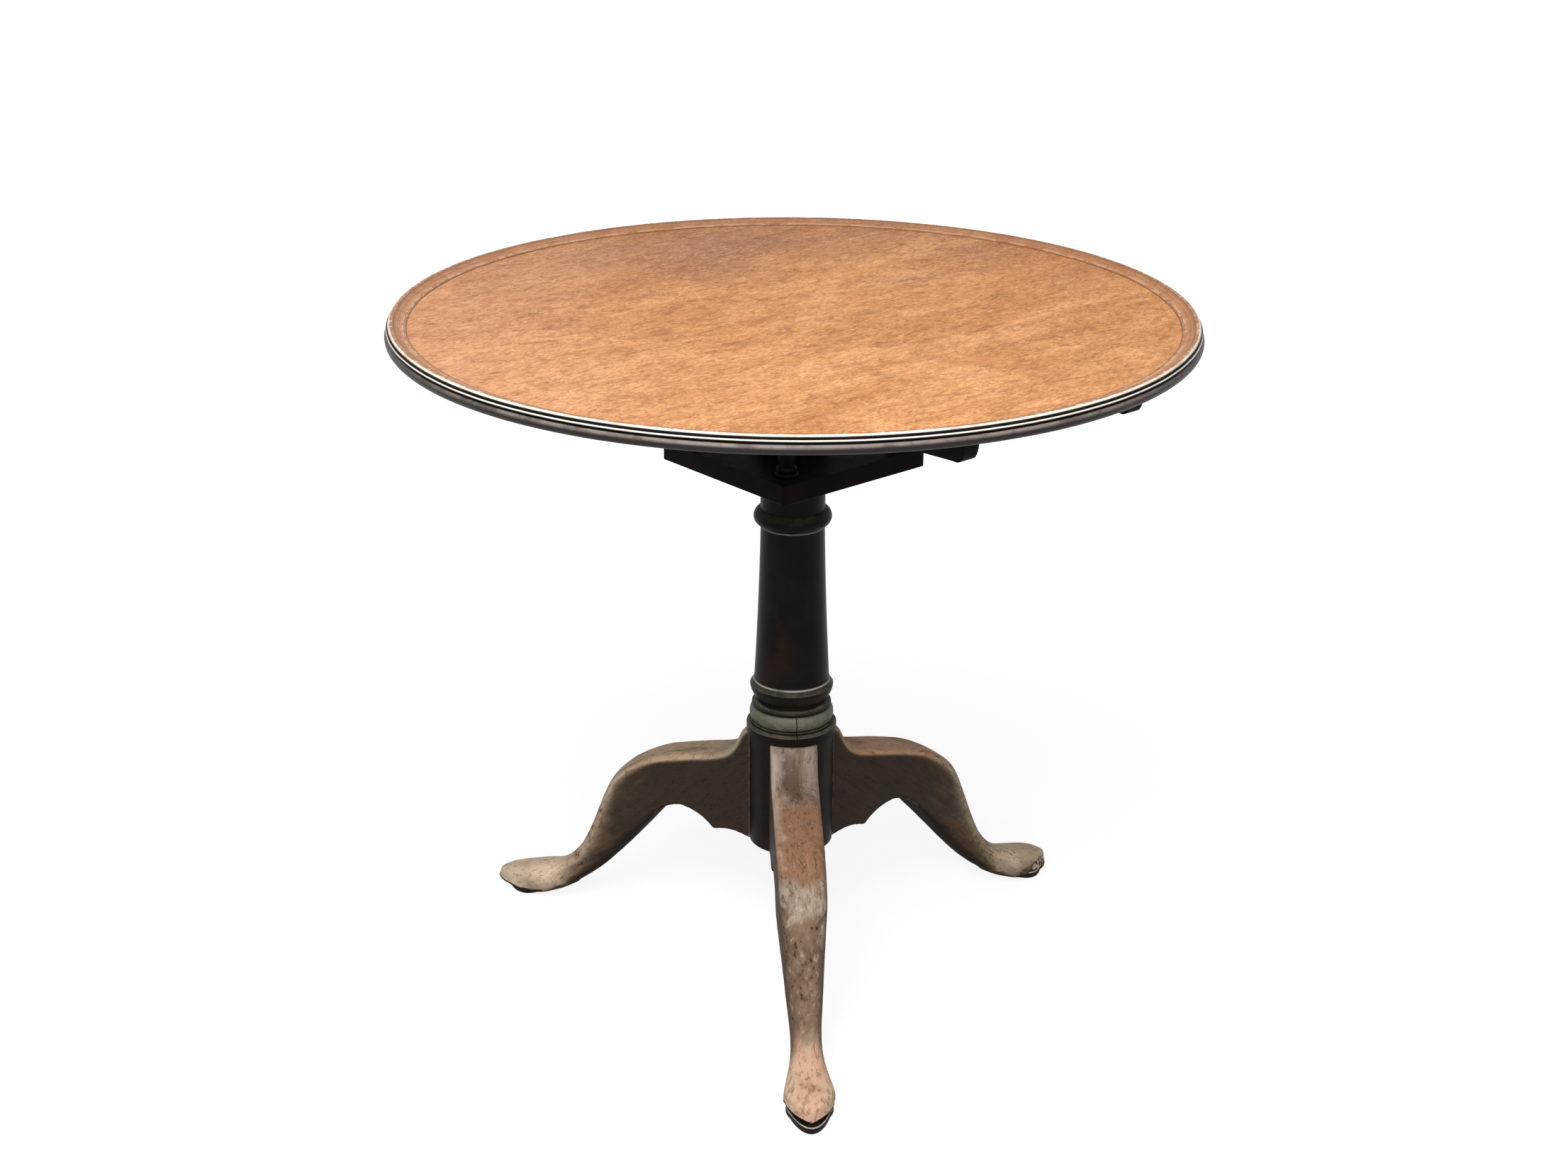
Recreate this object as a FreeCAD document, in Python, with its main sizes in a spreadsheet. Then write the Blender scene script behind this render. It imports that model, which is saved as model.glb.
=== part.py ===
import FreeCAD
import Part
import Sketcher
import os
import re

# Tray top tea table: a tilting round top on a birdcage, a turned column and three cabriole legs.
# Frame: millimetres, +Z up, origin on the floor under the column. The birdcage stands square to
# the axes: the top tips about a line along X, with its pivots at -Y and its catch at +Y.

SIZES = {
    # Tray top: board, dish and the moulded edge from the underside up
    "top_radius": 400.0,
    "field_thick": 12.0,
    "rim_width": 22.0,
    "field_step": 0.8,
    "torus_height": 10.0,
    "torus_swell": 4.8,
    "quirk_height": 1.1,
    "quirk_set": 5.6,
    "bead_height": 3.0,
    "bead_set": 3.0,
    "bead_swell": 1.3,
    "lip_height": 2.8,
    "lip_set": 3.6,
    "lip_round": 2.2,
    "lip_crest": 3.2,
    "cove_swell": 1.2,
    # Bearers under the top
    "bearer_width": 17.0,
    "bearer_depth": 30.0,
    "bearer_reach": 361.0,
    "bearer_gap": 0.5,
    "taper_length": 70.0,
    "nose_length": 20.0,
    "nose_depth": 21.0,
    "nose_edge": 2.0,
    "nose_swell": 4.5,
    "nose_hollow": 1.2,
    # Birdcage
    "plate_side": 188.0,
    "upper_width": 196.0,
    "plate_round": 5.0,
    "plate_ease": 1.0,
    "lower_thick": 19.5,
    "upper_thick": 20.0,
    "pivot_overhang": 3.0,
    "baluster_height": 100.3,
    "baluster_radius": 11.6,
    "baluster_inset": 21.0,
    "tenon_radius": 6.5,
    "tenon_length": 12.0,
    "pin_radius": 8.0,
    "pin_seat": 16.0,
    "pin_reach": 12.0,
    "pin_ease": 1.0,
    # Column: drum for the legs, base mouldings, shaft, ring, neck and pintle
    "drum_lift": 140.0,
    "drum_radius": 44.0,
    "drum_height": 126.0,
    "drum_ease": 3.0,
    "collar_radius": 47.0,
    "collar_height": 12.0,
    "collar_ease": 1.5,
    "groove_radius": 43.2,
    "groove_height": 2.0,
    "base_torus_root": 40.4,
    "base_torus_height": 17.0,
    "base_torus_swell": 3.4,
    "base_bead_root": 39.4,
    "base_bead_height": 5.0,
    "base_bead_swell": 2.0,
    "cup_neck_radius": 35.6,
    "cup_neck_height": 2.8,
    "cup_radius": 43.2,
    "cup_height": 14.0,
    "cup_swell": 1.3,
    "cup_edge": 2.0,
    "flare_height": 12.5,
    "flare_hollow": 1.3,
    "shaft_low_radius": 38.7,
    "shaft_high_radius": 32.8,
    "shaft_height": 161.1,
    "shaft_hollow": 0.75,
    "fillet_height": 2.0,
    "fillet_swell": 0.9,
    "ring_root": 33.4,
    "ring_height": 17.5,
    "ring_swell": 6.8,
    "neck_radius": 33.0,
    "neck_height": 47.4,
    "pintle_radius": 21.0,
    "pintle_tip_radius": 15.0,
    "pintle_ease": 1.5,
    # Collar and wedge that lock the birdcage down
    "lock_collar_radius": 38.0,
    "lock_collar_height": 15.0,
    "lock_collar_swell": 4.0,
    "wedge_length": 118.0,
    "wedge_thick": 12.0,
    "wedge_tall": 26.0,
    "wedge_low": 18.0,
    "wedge_offset": 8.0,
    "mortise_drop": 4.0,
    # Legs
    "leg_reach": 360.4,
    "leg_thick": 50.0,
    "leg_round": 8.0,
    "toe_width": 53.0,
    "toe_radius": 50.0,
    "toe_length": 44.0,
    "toe_set": 12.5,
    "toe_quirk": 1.2,
    "quirk_rise": 2.0,
    "cushion_radius": 26.4,
    "sole_radius": 21.0,
    "cushion_height": 9.0,
    "cushion_swell": 2.2,
    "dovetail_depth": 12.0,
    "dovetail_neck": 12.0,
    "dovetail_tail": 17.0,
    "dovetail_stop": 14.0,
    "leg_turn_angle": -127.8,
    # Brass catch
    "catch_width": 30.0,
    "catch_length": 40.0,
    "catch_wall": 3.0,
    "catch_stand_off": 1.2,
    "flange_width": 60.0,
    "flange_thick": 2.0,
    "bolt_width": 14.0,
    "bolt_height": 7.0,
    "bolt_drop": 6.0,
    "bolt_length": 32.0,
    "bolt_throw": 9.0,
    "bolt_bevel": 4.0,
    "spring_thick": 0.8,
    "knob_radius": 6.0,
    "knob_height": 11.0,
    "stem_radius": 2.4,
    "stem_seat": 3.5,
    "keeper_width": 36.0,
    "keeper_height": 14.0,
    "keeper_thick": 2.0,
    "keeper_reach": 3.0,
    # Screws
    "screw_radius": 2.2,
    "screw_head_radius": 4.4,
    "screw_head_height": 2.6,
    "screw_tip": 3.0,
    "screw_bite": 8.0,
    "small_screw_radius": 1.4,
    "small_head_radius": 2.7,
    "small_head_height": 1.4,
    "small_screw_length": 9.0,
    "small_screw_tip": 2.0,
    # Clearances and the overrun of cuts
    "flat_gap": 0.05,
    "top_gap": 0.3,
    "running_gap": 0.08,
    "joint_gap": 0.15,
    "slide_gap": 0.2,
    "overrun": 5.0,
}

DERIVED = {
    # Levels up the column
    "drum_top": "drum_lift + drum_height",
    "collar_top": "drum_top + collar_height",
    "groove_top": "collar_top + groove_height",
    "base_torus_top": "groove_top + base_torus_height",
    "base_bead_top": "base_torus_top + base_bead_height",
    "cup_bottom": "base_bead_top + cup_neck_height",
    "cup_top": "cup_bottom + cup_height",
    "flare_bottom": "cup_top + cup_edge",
    "shaft_foot": "flare_bottom + flare_height",
    "shaft_head": "shaft_foot + shaft_height",
    "fillet_top": "shaft_head + fillet_height",
    "ring_top": "fillet_top + ring_height",
    "shoulder": "ring_top + neck_height",
    # Levels up the birdcage and the top
    "lower_bottom": "shoulder + flat_gap",
    "lower_top": "lower_bottom + lower_thick",
    "upper_bottom": "lower_top + baluster_height",
    "upper_top": "upper_bottom + upper_thick",
    "underside": "upper_top + top_gap",
    "lip_bottom": "underside + torus_height + 2 * quirk_height + bead_height",
    "lip_top": "lip_bottom + lip_height",
    "field_level": "underside + field_thick",
    "pivot_level": "upper_bottom + upper_thick / 2",
    "pivot_place": "plate_side / 2 + pivot_overhang - upper_thick / 2",
    "baluster_place": "plate_side / 2 - baluster_inset",
    "bearer_inner": "upper_width / 2 + bearer_gap",
    # Pintle, collar and wedge
    "collar_seat": "lower_top + flat_gap",
    "wedge_seat": "collar_seat + lock_collar_height",
    "pintle_step": "upper_bottom - top_gap",
    "pintle_top": "upper_top - pintle_ease",
    "wedge_slope": "(wedge_tall - wedge_low) / wedge_length",
    # Legs
    "leg_rise": "drum_top - joint_gap",
    "leg_span": "leg_reach - collar_radius",
    "toe_tip": "leg_reach - toe_set",
    "drum_flat": "sqrt(drum_radius ^ 2 - (leg_thick / 2) ^ 2)",
    "leg_face": "drum_flat + flat_gap",
    # Catch
    "catch_front": "plate_side / 2 + catch_stand_off",
    "catch_depth": "bolt_drop + bolt_height + slide_gap + catch_wall",
    "bolt_top": "underside - bolt_drop",
    "bolt_nose": "catch_front - bolt_throw",
    "bolt_tail": "bolt_nose + bolt_length",
    "tunnel_end": "catch_front + catch_length - catch_wall",
    "keeper_middle": "bolt_top - bolt_height / 2",
    "catch_floor": "underside - catch_depth",
    "knob_place": "bolt_nose + bolt_throw + catch_wall + stem_radius + slide_gap",
}

LEFT = 1
RIGHT = -1
SMALLEST_CUT_SHARE = 1e-6
EDGE_TOLERANCE_SHARE = 1e-4
NAME = re.compile(r"[a-z][a-z_]*")

doc = FreeCAD.newDocument("tea_table")
sheet = doc.addObject("Spreadsheet::Sheet", "Sizes")
for row, (alias, size) in enumerate(SIZES.items(), start=1):
    sheet.set(f"A{row}", alias)
    sheet.set(f"B{row}", str(size))
    sheet.setAlias(f"B{row}", alias)
doc.recompute()

nodes = []


def bind(text):
    """Write an expression on named sizes in the sheet's own terms."""

    def swap(match):
        word = match.group(0)
        if word in SIZES:
            return f"Sizes.{word}"
        if word in DERIVED:
            return f"({bind(DERIVED[word])})"
        return word

    return NAME.sub(swap, str(text))


def number(text):
    """Work out an expression on named sizes."""
    return float(sheet.evalExpression(bind(text)))


def point(x, y):
    """Work out a point of a sketch from two expressions."""
    return FreeCAD.Vector(number(x), number(y), 0)


# Parts of an outline: each one runs on from the end of the one before it

def line(x, y):
    return {"kind": "line", "end": (x, y)}


def bow(x, y, swell, side):
    """Arc whose centre lies on the given side of the way, and which swells to the other."""
    return {"kind": "arc", "end": (x, y), "swell": swell, "side": side}


def rounding(x, y, radius, side):
    """Arc of a given radius whose centre lies on the given side of the way."""
    return {"kind": "arc", "end": (x, y), "radius": radius, "side": side}


def sweep(points, first=None, last=None):
    """Smooth curve through points, with directions at its ends where they are given."""
    return {"kind": "curve", "end": points[-1], "points": points, "first": first, "last": last}


def arc_radius(start, part):
    if "radius" in part:
        return part["radius"]
    run = f"(({part['end'][0]}) - ({start[0]}))"
    rise = f"(({part['end'][1]}) - ({start[1]}))"
    return f"({run} ^ 2 + {rise} ^ 2) / (8 * ({part['swell']})) + ({part['swell']}) / 2"


def arc_geometry(start, end, radius, side):
    chord = end - start
    half = chord.Length / 2
    across = FreeCAD.Vector(-chord.y, chord.x, 0).normalize()
    rise = max(radius ** 2 - half ** 2, 0) ** 0.5
    centre = (start + end) / 2 + across * side * rise
    middle = centre - across * side * radius
    return Part.Arc(start, middle, end)


def hold(sketch, kind, geometry, end, text):
    """Hold one end of a line or arc at a distance from the sketch's origin."""
    if text == "0":
        axis = {"DistanceX": -2, "DistanceY": -1}[kind]
        sketch.addConstraint(Sketcher.Constraint("PointOnObject", geometry, end, axis))
        return
    held = Sketcher.Constraint(kind, -1, 1, geometry, end, number(text))
    sketch.setExpression(f"Constraints[{sketch.addConstraint(held)}]", bind(text))


def new_sketch(body, name, role, lift="0"):
    sketch = body.newObject("Sketcher::SketchObject", name)
    plane = next(feature for feature in body.Origin.OriginFeatures if feature.Role == role)
    sketch.AttachmentSupport = [(plane, "")]
    sketch.MapMode = "FlatFace"
    sketch.setExpression("AttachmentOffset.Base.z", bind(lift))
    return sketch


def draw(sketch, start, parts):
    """Draw a closed outline from its start through its parts, each end held by its sizes."""
    closing = parts if parts[-1]["end"] == start else parts + [line(*start)]
    here = start
    ends = []
    for part in closing:
        begin, end = point(*here), point(*part["end"])
        first, last = 1, 2
        if part["kind"] == "line":
            geometry = sketch.addGeometry(Part.LineSegment(begin, end), False)
        elif part["kind"] == "arc":
            radius = arc_radius(here, part)
            geometry = sketch.addGeometry(arc_geometry(begin, end, number(radius), part["side"]), False)
            held = Sketcher.Constraint("Radius", geometry, number(radius))
            sketch.setExpression(f"Constraints[{sketch.addConstraint(held)}]", bind(radius))
            if part["side"] == RIGHT:
                first, last = 2, 1
        else:
            spline = Part.BSplineCurve()
            through = [begin] + [point(*place) for place in part["points"]]
            if part["first"]:
                spline.interpolate(Points=through, InitialTangent=point(*part["first"]),
                                   FinalTangent=point(*part["last"]))
            else:
                spline.interpolate(Points=through)
            geometry = sketch.addGeometry(spline, False)
        ends.append((geometry, first, last, here))
        here = part["end"]
    for (geometry, first, last, place), after in zip(ends, ends[1:] + ends[:1]):
        sketch.addConstraint(Sketcher.Constraint("Coincident", geometry, last, after[0], after[1]))
        hold(sketch, "DistanceX", geometry, first, place[0])
        hold(sketch, "DistanceY", geometry, first, place[1])
    return sketch


def rings(sketch, places, radius):
    """Draw equal circles at the given places."""
    for x, y in places:
        circle = Part.Circle(point(x, y), FreeCAD.Vector(0, 0, 1), number(radius))
        geometry = sketch.addGeometry(circle, False)
        held = Sketcher.Constraint("Radius", geometry, number(radius))
        sketch.setExpression(f"Constraints[{sketch.addConstraint(held)}]", bind(radius))
        hold(sketch, "DistanceX", geometry, 3, x)
        hold(sketch, "DistanceY", geometry, 3, y)
    return sketch


def rectangle(sketch, left, low, right, high):
    return draw(sketch, (left, low), [line(right, low), line(right, high), line(left, high)])


# Features

def new_body(label):
    body = doc.addObject("PartDesign::Body", label)
    body.Label = label
    nodes.append(body)
    return body


def place(node, x="0", y="0", z="0", turn="0", axis=FreeCAD.Vector(0, 0, 1)):
    """Put a node at named places, turned about an axis through its own origin."""
    node.Placement = FreeCAD.Placement(point(x, y), FreeCAD.Rotation(axis, number(turn)))
    for key, text in {"x": x, "y": y, "z": z}.items():
        node.setExpression(f"Placement.Base.{key}", bind(text))
    node.setExpression("Placement.Rotation.Angle", bind(turn))


def pad(body, sketch, length, symmetric=False, reverse=False):
    feature = body.newObject("PartDesign::Pad", f"{body.Name}_pad")
    feature.Profile = sketch
    feature.setExpression("Length", bind(length))
    feature.SideType = "Symmetric" if symmetric else "One side"
    feature.Reversed = reverse
    doc.recompute()
    return feature


def pocket(body, sketch, length, symmetric=False, reverse=False):
    """Cut a sketch into its body, and see that it takes something away."""
    before = body.Shape.Volume
    feature = body.newObject("PartDesign::Pocket", f"{body.Name}_pocket")
    feature.Profile = sketch
    feature.setExpression("Length", bind(length))
    feature.SideType = "Symmetric" if symmetric else "One side"
    feature.Reversed = reverse
    doc.recompute()
    if before - body.Shape.Volume < before * SMALLEST_CUT_SHARE:
        raise RuntimeError(f"{sketch.Name} cuts nothing from {body.Label}")
    return feature


def turn_solid(body, sketch):
    feature = body.newObject("PartDesign::Revolution", f"{body.Name}_turning")
    feature.Profile = sketch
    feature.ReferenceAxis = (sketch, ["V_Axis"])
    feature.Angle = 360
    doc.recompute()
    return feature


def axis_of(body, role):
    return next(feature for feature in body.Origin.OriginFeatures if feature.Role == role)


def around(body, features, count):
    pattern = body.newObject("PartDesign::PolarPattern", f"{body.Name}_round")
    pattern.Originals = features
    pattern.Axis = (axis_of(body, "Z_Axis"), [""])
    pattern.Angle = 360
    pattern.Occurrences = count
    body.Tip = pattern
    doc.recompute()
    return pattern


def mirror(body, features, role):
    mirrored = body.newObject("PartDesign::Mirrored", f"{body.Name}_mirror")
    mirrored.Originals = features
    mirrored.MirrorPlane = (axis_of(body, role), [""])
    body.Tip = mirrored
    doc.recompute()
    return mirrored


def ease(body, feature, radius, chosen):
    """Round the edges of a feature that the given test chooses."""
    names = [f"Edge{index}" for index, edge in enumerate(feature.Shape.Edges, start=1) if chosen(edge)]
    if not names:
        raise RuntimeError(f"No edge of {body.Label} to round")
    fillet = body.newObject("PartDesign::Fillet", f"{body.Name}_ease")
    fillet.Base = (feature, names)
    fillet.setExpression("Radius", bind(radius))
    doc.recompute()
    return fillet


def turned(label, start, parts):
    """Piece that is turned on a lathe, about its own Z axis."""
    body = new_body(label)
    turn_solid(body, draw(new_sketch(body, f"{label}_profile", "XZ_Plane"), start, parts))
    return body


def screw_group(label, places, out, length, sizes):
    """Countersunk screws that share one node: the heads lie at places and look along out."""
    radius, head_radius, head_height, tip = (number(size) for size in sizes)
    long = number(length)
    profile = [(0, 0), (head_radius, 0), (radius, head_height), (radius, long - tip), (0, long), (0, 0)]
    face = Part.Face(Part.makePolygon([FreeCAD.Vector(x, 0, -z) for x, z in profile]))
    one = face.revolve(FreeCAD.Vector(0, 0, 0), FreeCAD.Vector(0, 0, 1), 360)
    turn = FreeCAD.Rotation(FreeCAD.Vector(0, 0, 1), out)
    copies = []
    for spot in places:
        copy = one.copy()
        copy.Placement = FreeCAD.Placement(FreeCAD.Vector(*(number(text) for text in spot)), turn)
        copies.append(copy)
    group = doc.addObject("Part::Feature", label)
    group.Label = label
    group.Shape = Part.makeCompound(copies)
    nodes.append(group)
    return group


BEARER_SCREW = ("screw_radius", "screw_head_radius", "screw_head_height", "screw_tip")
SMALL_SCREW = ("small_screw_radius", "small_head_radius", "small_head_height", "small_screw_tip")
BEARER_SCREW_SHARES = (-0.66, -0.38, 0.34, 0.66)
CATCH_SCREW_SHARES = ((-0.8, 0.2), (-0.8, 0.8), (0.8, 0.2), (0.8, 0.8))
KEEPER_SCREW_SHARES = (-0.72, 0.72)


def screw_hole(body, name, role, places, sizes, lift, depth, reverse):
    """Clearance holes with countersinks for a group of screws."""
    radius, head_radius, head_height = sizes[:3]
    shank = rings(new_sketch(body, f"{name}_holes", role, lift), places, f"{radius} + joint_gap")
    pocket(body, shank, f"{depth} + joint_gap", reverse=reverse)
    sink = rings(new_sketch(body, f"{name}_sinks", role, lift), places, f"{head_radius} + joint_gap")
    feature = pocket(body, sink, f"{head_height} + joint_gap", reverse=reverse)
    feature.setExpression(
        "TaperAngle", bind(f"-atan(({head_radius} - {radius}) / ({head_height} + joint_gap))"))
    doc.recompute()


def bearer_screw_places(side):
    return [(f"{side} * (bearer_inner + bearer_width / 2)", f"{share} * bearer_reach")
            for share in BEARER_SCREW_SHARES]


def catch_screw_places():
    return [(f"{across} * flange_width / 2", f"catch_front + {along} * catch_length")
            for across, along in CATCH_SCREW_SHARES]


def keeper_screw_places():
    return [(f"{share} * keeper_width / 2", "keeper_middle") for share in KEEPER_SCREW_SHARES]


# Tray top

def make_tray_top():
    edge = "top_radius - "
    crest = "lip_set - lip_round - lip_crest"
    top = turned("tray_top", ("0", "underside"), [
        line(edge + "torus_swell", "underside"),
        bow(edge + "torus_swell", "underside + torus_height", "torus_swell", LEFT),
        line(edge + "quirk_set", "underside + torus_height"),
        line(edge + "quirk_set", "underside + torus_height + quirk_height"),
        line(edge + "bead_set", "underside + torus_height + quirk_height"),
        bow(edge + "bead_set", "lip_bottom - quirk_height", "bead_swell", LEFT),
        line(edge + "quirk_set", "lip_bottom - quirk_height"),
        line(edge + "quirk_set", "lip_bottom"),
        line(edge + "lip_set", "lip_bottom"),
        line(edge + "lip_set", "lip_top - lip_round"),
        rounding(edge + "lip_set - lip_round", "lip_top", "lip_round", LEFT),
        line(edge + crest, "lip_top"),
        bow(edge + "rim_width", "field_level + field_step", "cove_swell", RIGHT),
        line(edge + "rim_width", "field_level"),
        line("0", "field_level"),
    ])
    places = bearer_screw_places(1) + bearer_screw_places(-1)
    holes = rings(new_sketch(top, "pilot_holes", "XY_Plane", "underside"), places, "screw_radius + joint_gap")
    pocket(top, holes, "screw_bite + joint_gap", reverse=True)
    small = rings(new_sketch(top, "catch_pilot_holes", "XY_Plane", "underside"), catch_screw_places(),
                  "small_screw_radius + joint_gap")
    pocket(top, small, "small_screw_length", reverse=True)


# Bearers

# Shares of the nose's length and depth where its hollow turns into its round
NOSE_TURN_SHARES = (0.32, 0.42)


def make_bearer(label, side):
    """Bearer with tapered ends, moulded noses and the hole for its pivot pin in its inner face."""
    bearer = new_body(label)
    low = "underside - bearer_depth"
    nose = "bearer_reach - nose_length"
    taper = f"{nose} - taper_length"
    turn_in = f"bearer_reach - {NOSE_TURN_SHARES[0]} * nose_length"
    turn_down = f"underside - {NOSE_TURN_SHARES[1]} * nose_depth"
    profile = draw(new_sketch(bearer, f"{label}_profile", "YZ_Plane"), ("-bearer_reach", "underside"), [
        line("-bearer_reach", "underside - nose_edge"),
        bow(f"-({turn_in})", turn_down, "nose_hollow", RIGHT),
        bow(f"-({nose})", "underside - nose_depth", "nose_swell", LEFT),
        line(f"-({taper})", low),
        line(taper, low),
        line(nose, "underside - nose_depth"),
        bow(turn_in, turn_down, "nose_swell", LEFT),
        bow("bearer_reach", "underside - nose_edge", "nose_hollow", RIGHT),
        line("bearer_reach", "underside"),
    ])
    pad(bearer, profile, "bearer_width")
    pivot = rings(new_sketch(bearer, f"{label}_pivot", "YZ_Plane"),
                  [(f"{-side} * pivot_place", "pivot_level")], "pin_radius + running_gap")
    pocket(bearer, pivot, "pin_reach + slide_gap", reverse=True)
    places = [("bearer_width / 2", f"{side * share} * bearer_reach") for share in BEARER_SCREW_SHARES]
    screw_hole(bearer, label, "XY_Plane", places, BEARER_SCREW, low, "bearer_depth", True)
    place(bearer, x=f"{side} * bearer_inner", turn="0" if side > 0 else "180")


# Birdcage

def make_lower_plate():
    plate = new_body("cage_lower_plate")
    half = "plate_side / 2"
    inner = "plate_side / 2 - plate_round"
    outline = new_sketch(plate, "lower_outline", "XY_Plane", "lower_bottom")
    square = draw(outline, (f"-({inner})", f"-({half})"), [
        line(inner, f"-({half})"),
        rounding(half, f"-({inner})", "plate_round", LEFT),
        line(half, inner),
        rounding(inner, half, "plate_round", LEFT),
        line(f"-({inner})", half),
        rounding(f"-({half})", inner, "plate_round", LEFT),
        line(f"-({half})", f"-({inner})"),
        rounding(f"-({inner})", f"-({half})", "plate_round", LEFT),
    ])
    board = pad(plate, square, "lower_thick")
    middle = number("lower_bottom + lower_thick / 2")
    ease(plate, board, "plate_ease", lambda edge: edge.BoundBox.ZMax < middle)
    bore = rings(new_sketch(plate, "lower_bore", "XY_Plane", "lower_bottom"), [("0", "0")],
                 "pintle_radius + running_gap")
    pocket(plate, bore, "lower_thick + overrun", reverse=True)
    mortises = rings(new_sketch(plate, "lower_mortises", "XY_Plane", "lower_top"), baluster_places(),
                     "tenon_radius + joint_gap")
    pocket(plate, mortises, "tenon_length + joint_gap")


def baluster_places():
    return [(f"{x} * baluster_place", f"{y} * baluster_place") for x in (-1, 1) for y in (-1, 1)]


def make_upper_plate():
    """Upper plate: its pivot edge is half round about the pins, so that the top turns clear of it."""
    plate = new_body("cage_upper_plate")
    back = "plate_side / 2"
    nose = "-(pivot_place + upper_thick / 2)"
    profile = draw(new_sketch(plate, "upper_profile", "YZ_Plane"), (back, "upper_bottom"), [
        line(back, "upper_top"),
        line("-pivot_place", "upper_top"),
        rounding(nose, "pivot_level", "upper_thick / 2", LEFT),
        rounding("-pivot_place", "upper_bottom", "upper_thick / 2", LEFT),
    ])
    pad(plate, profile, "upper_width", symmetric=True)
    bore = rings(new_sketch(plate, "upper_bore", "XY_Plane", "upper_bottom"), [("0", "0")],
                 "pintle_tip_radius + running_gap")
    pocket(plate, bore, "upper_thick + overrun", reverse=True)
    mortises = rings(new_sketch(plate, "upper_mortises", "XY_Plane", "upper_bottom"), baluster_places(),
                     "tenon_radius + joint_gap")
    pocket(plate, mortises, "tenon_length + joint_gap", reverse=True)
    seat = rings(new_sketch(plate, "pin_seat_circle", "YZ_Plane", "upper_width / 2"),
                 [("-pivot_place", "pivot_level")], "pin_radius + joint_gap")
    mirror(plate, [pocket(plate, seat, "pin_seat + joint_gap")], "YZ_Plane")
    recess = rectangle(new_sketch(plate, "keeper_recess", "XZ_Plane", "-plate_side / 2"),
                       "-keeper_width / 2 - joint_gap", "keeper_middle - keeper_height / 2 - joint_gap",
                       "keeper_width / 2 + joint_gap", "keeper_middle + keeper_height / 2 + joint_gap")
    pocket(plate, recess, "keeper_thick", reverse=True)
    hole = rectangle(new_sketch(plate, "bolt_mortise", "XZ_Plane", "-plate_side / 2"), *bolt_window())
    pocket(plate, hole, "keeper_thick + bolt_throw + keeper_reach", reverse=True)
    pilots = rings(new_sketch(plate, "keeper_pilots", "XZ_Plane", "-plate_side / 2"), keeper_screw_places(),
                   "small_screw_radius + joint_gap")
    pocket(plate, pilots, "small_screw_length + joint_gap", reverse=True)


def bolt_window():
    """Opening that the catch bolt shoots into."""
    across = "bolt_width / 2 + 2 * slide_gap"
    return (f"-({across})", "bolt_top - bolt_height - 2 * slide_gap", across, "bolt_top + 2 * slide_gap")


# Shares of a baluster's radius and height, from its foot up
BALUSTER_BASE_SHARES = ((0.90, 0.0), (0.90, 0.055), (0.70, 0.055), (0.70, 0.068), (0.80, 0.068),
                        (0.80, 0.105))
BALUSTER_VASE_SHARES = ((0.64, 0.115), (0.74, 0.20), (0.87, 0.30), (0.80, 0.43), (0.60, 0.58), (0.50, 0.70),
                        (0.56, 0.765))
BALUSTER_RING_SHARES = ((0.66, 0.775), (0.66, 0.825))
BALUSTER_FLARE_SHARES = ((0.52, 0.835), (0.55, 0.89), (0.80, 0.945))
BALUSTER_HEAD_SHARES = ((0.94, 0.95), (0.94, 1.0))
BALUSTER_SWELL_SHARE = 0.1


def make_baluster(label, x, y):
    """Turned baluster with a round tenon at each end."""

    def at(share):
        return f"{share[0]} * baluster_radius", f"{share[1]} * baluster_height"

    foot = "-tenon_length"
    head = "baluster_height + tenon_length"
    swell = f"{BALUSTER_SWELL_SHARE} * baluster_radius"
    base = [at(share) for share in BALUSTER_BASE_SHARES]
    vase = [at(share) for share in BALUSTER_VASE_SHARES]
    ring = [at(share) for share in BALUSTER_RING_SHARES]
    flare = [at(share) for share in BALUSTER_FLARE_SHARES]
    baluster = turned(label, ("0", foot), [
        line("tenon_radius", foot),
        line("tenon_radius", "0"),
        line(base[0][0], "0"),
        bow(*base[1], swell, LEFT),
        line(*base[2]),
        line(*base[3]),
        line(*base[4]),
        bow(*base[5], swell, LEFT),
        line(*vase[0]),
        sweep(vase[1:]),
        line(*ring[0]),
        bow(*ring[1], swell, LEFT),
        line(*flare[0]),
        sweep(flare[1:]),
        *(line(*at(share)) for share in BALUSTER_HEAD_SHARES),
        line("tenon_radius", "baluster_height"),
        line("tenon_radius", head),
        line("0", head),
    ])
    place(baluster, f"{x} * baluster_place", f"{y} * baluster_place", "lower_top")


def make_pin(label, side):
    """Pivot pin, fast in the upper plate and free to turn in the bearer."""
    inner = "-pin_seat"
    outer = "bearer_gap + pin_reach"
    pin = turned(label, ("0", inner), [
        line("pin_radius - pin_ease", inner),
        line("pin_radius", f"{inner} + pin_ease"),
        line("pin_radius", f"{outer} - pin_ease"),
        line("pin_radius - pin_ease", outer),
        line("0", outer),
    ])
    place(pin, f"{side} * upper_width / 2", "-pivot_place", "pivot_level", f"{side} * 90",
          FreeCAD.Vector(0, 1, 0))


# Column

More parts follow.
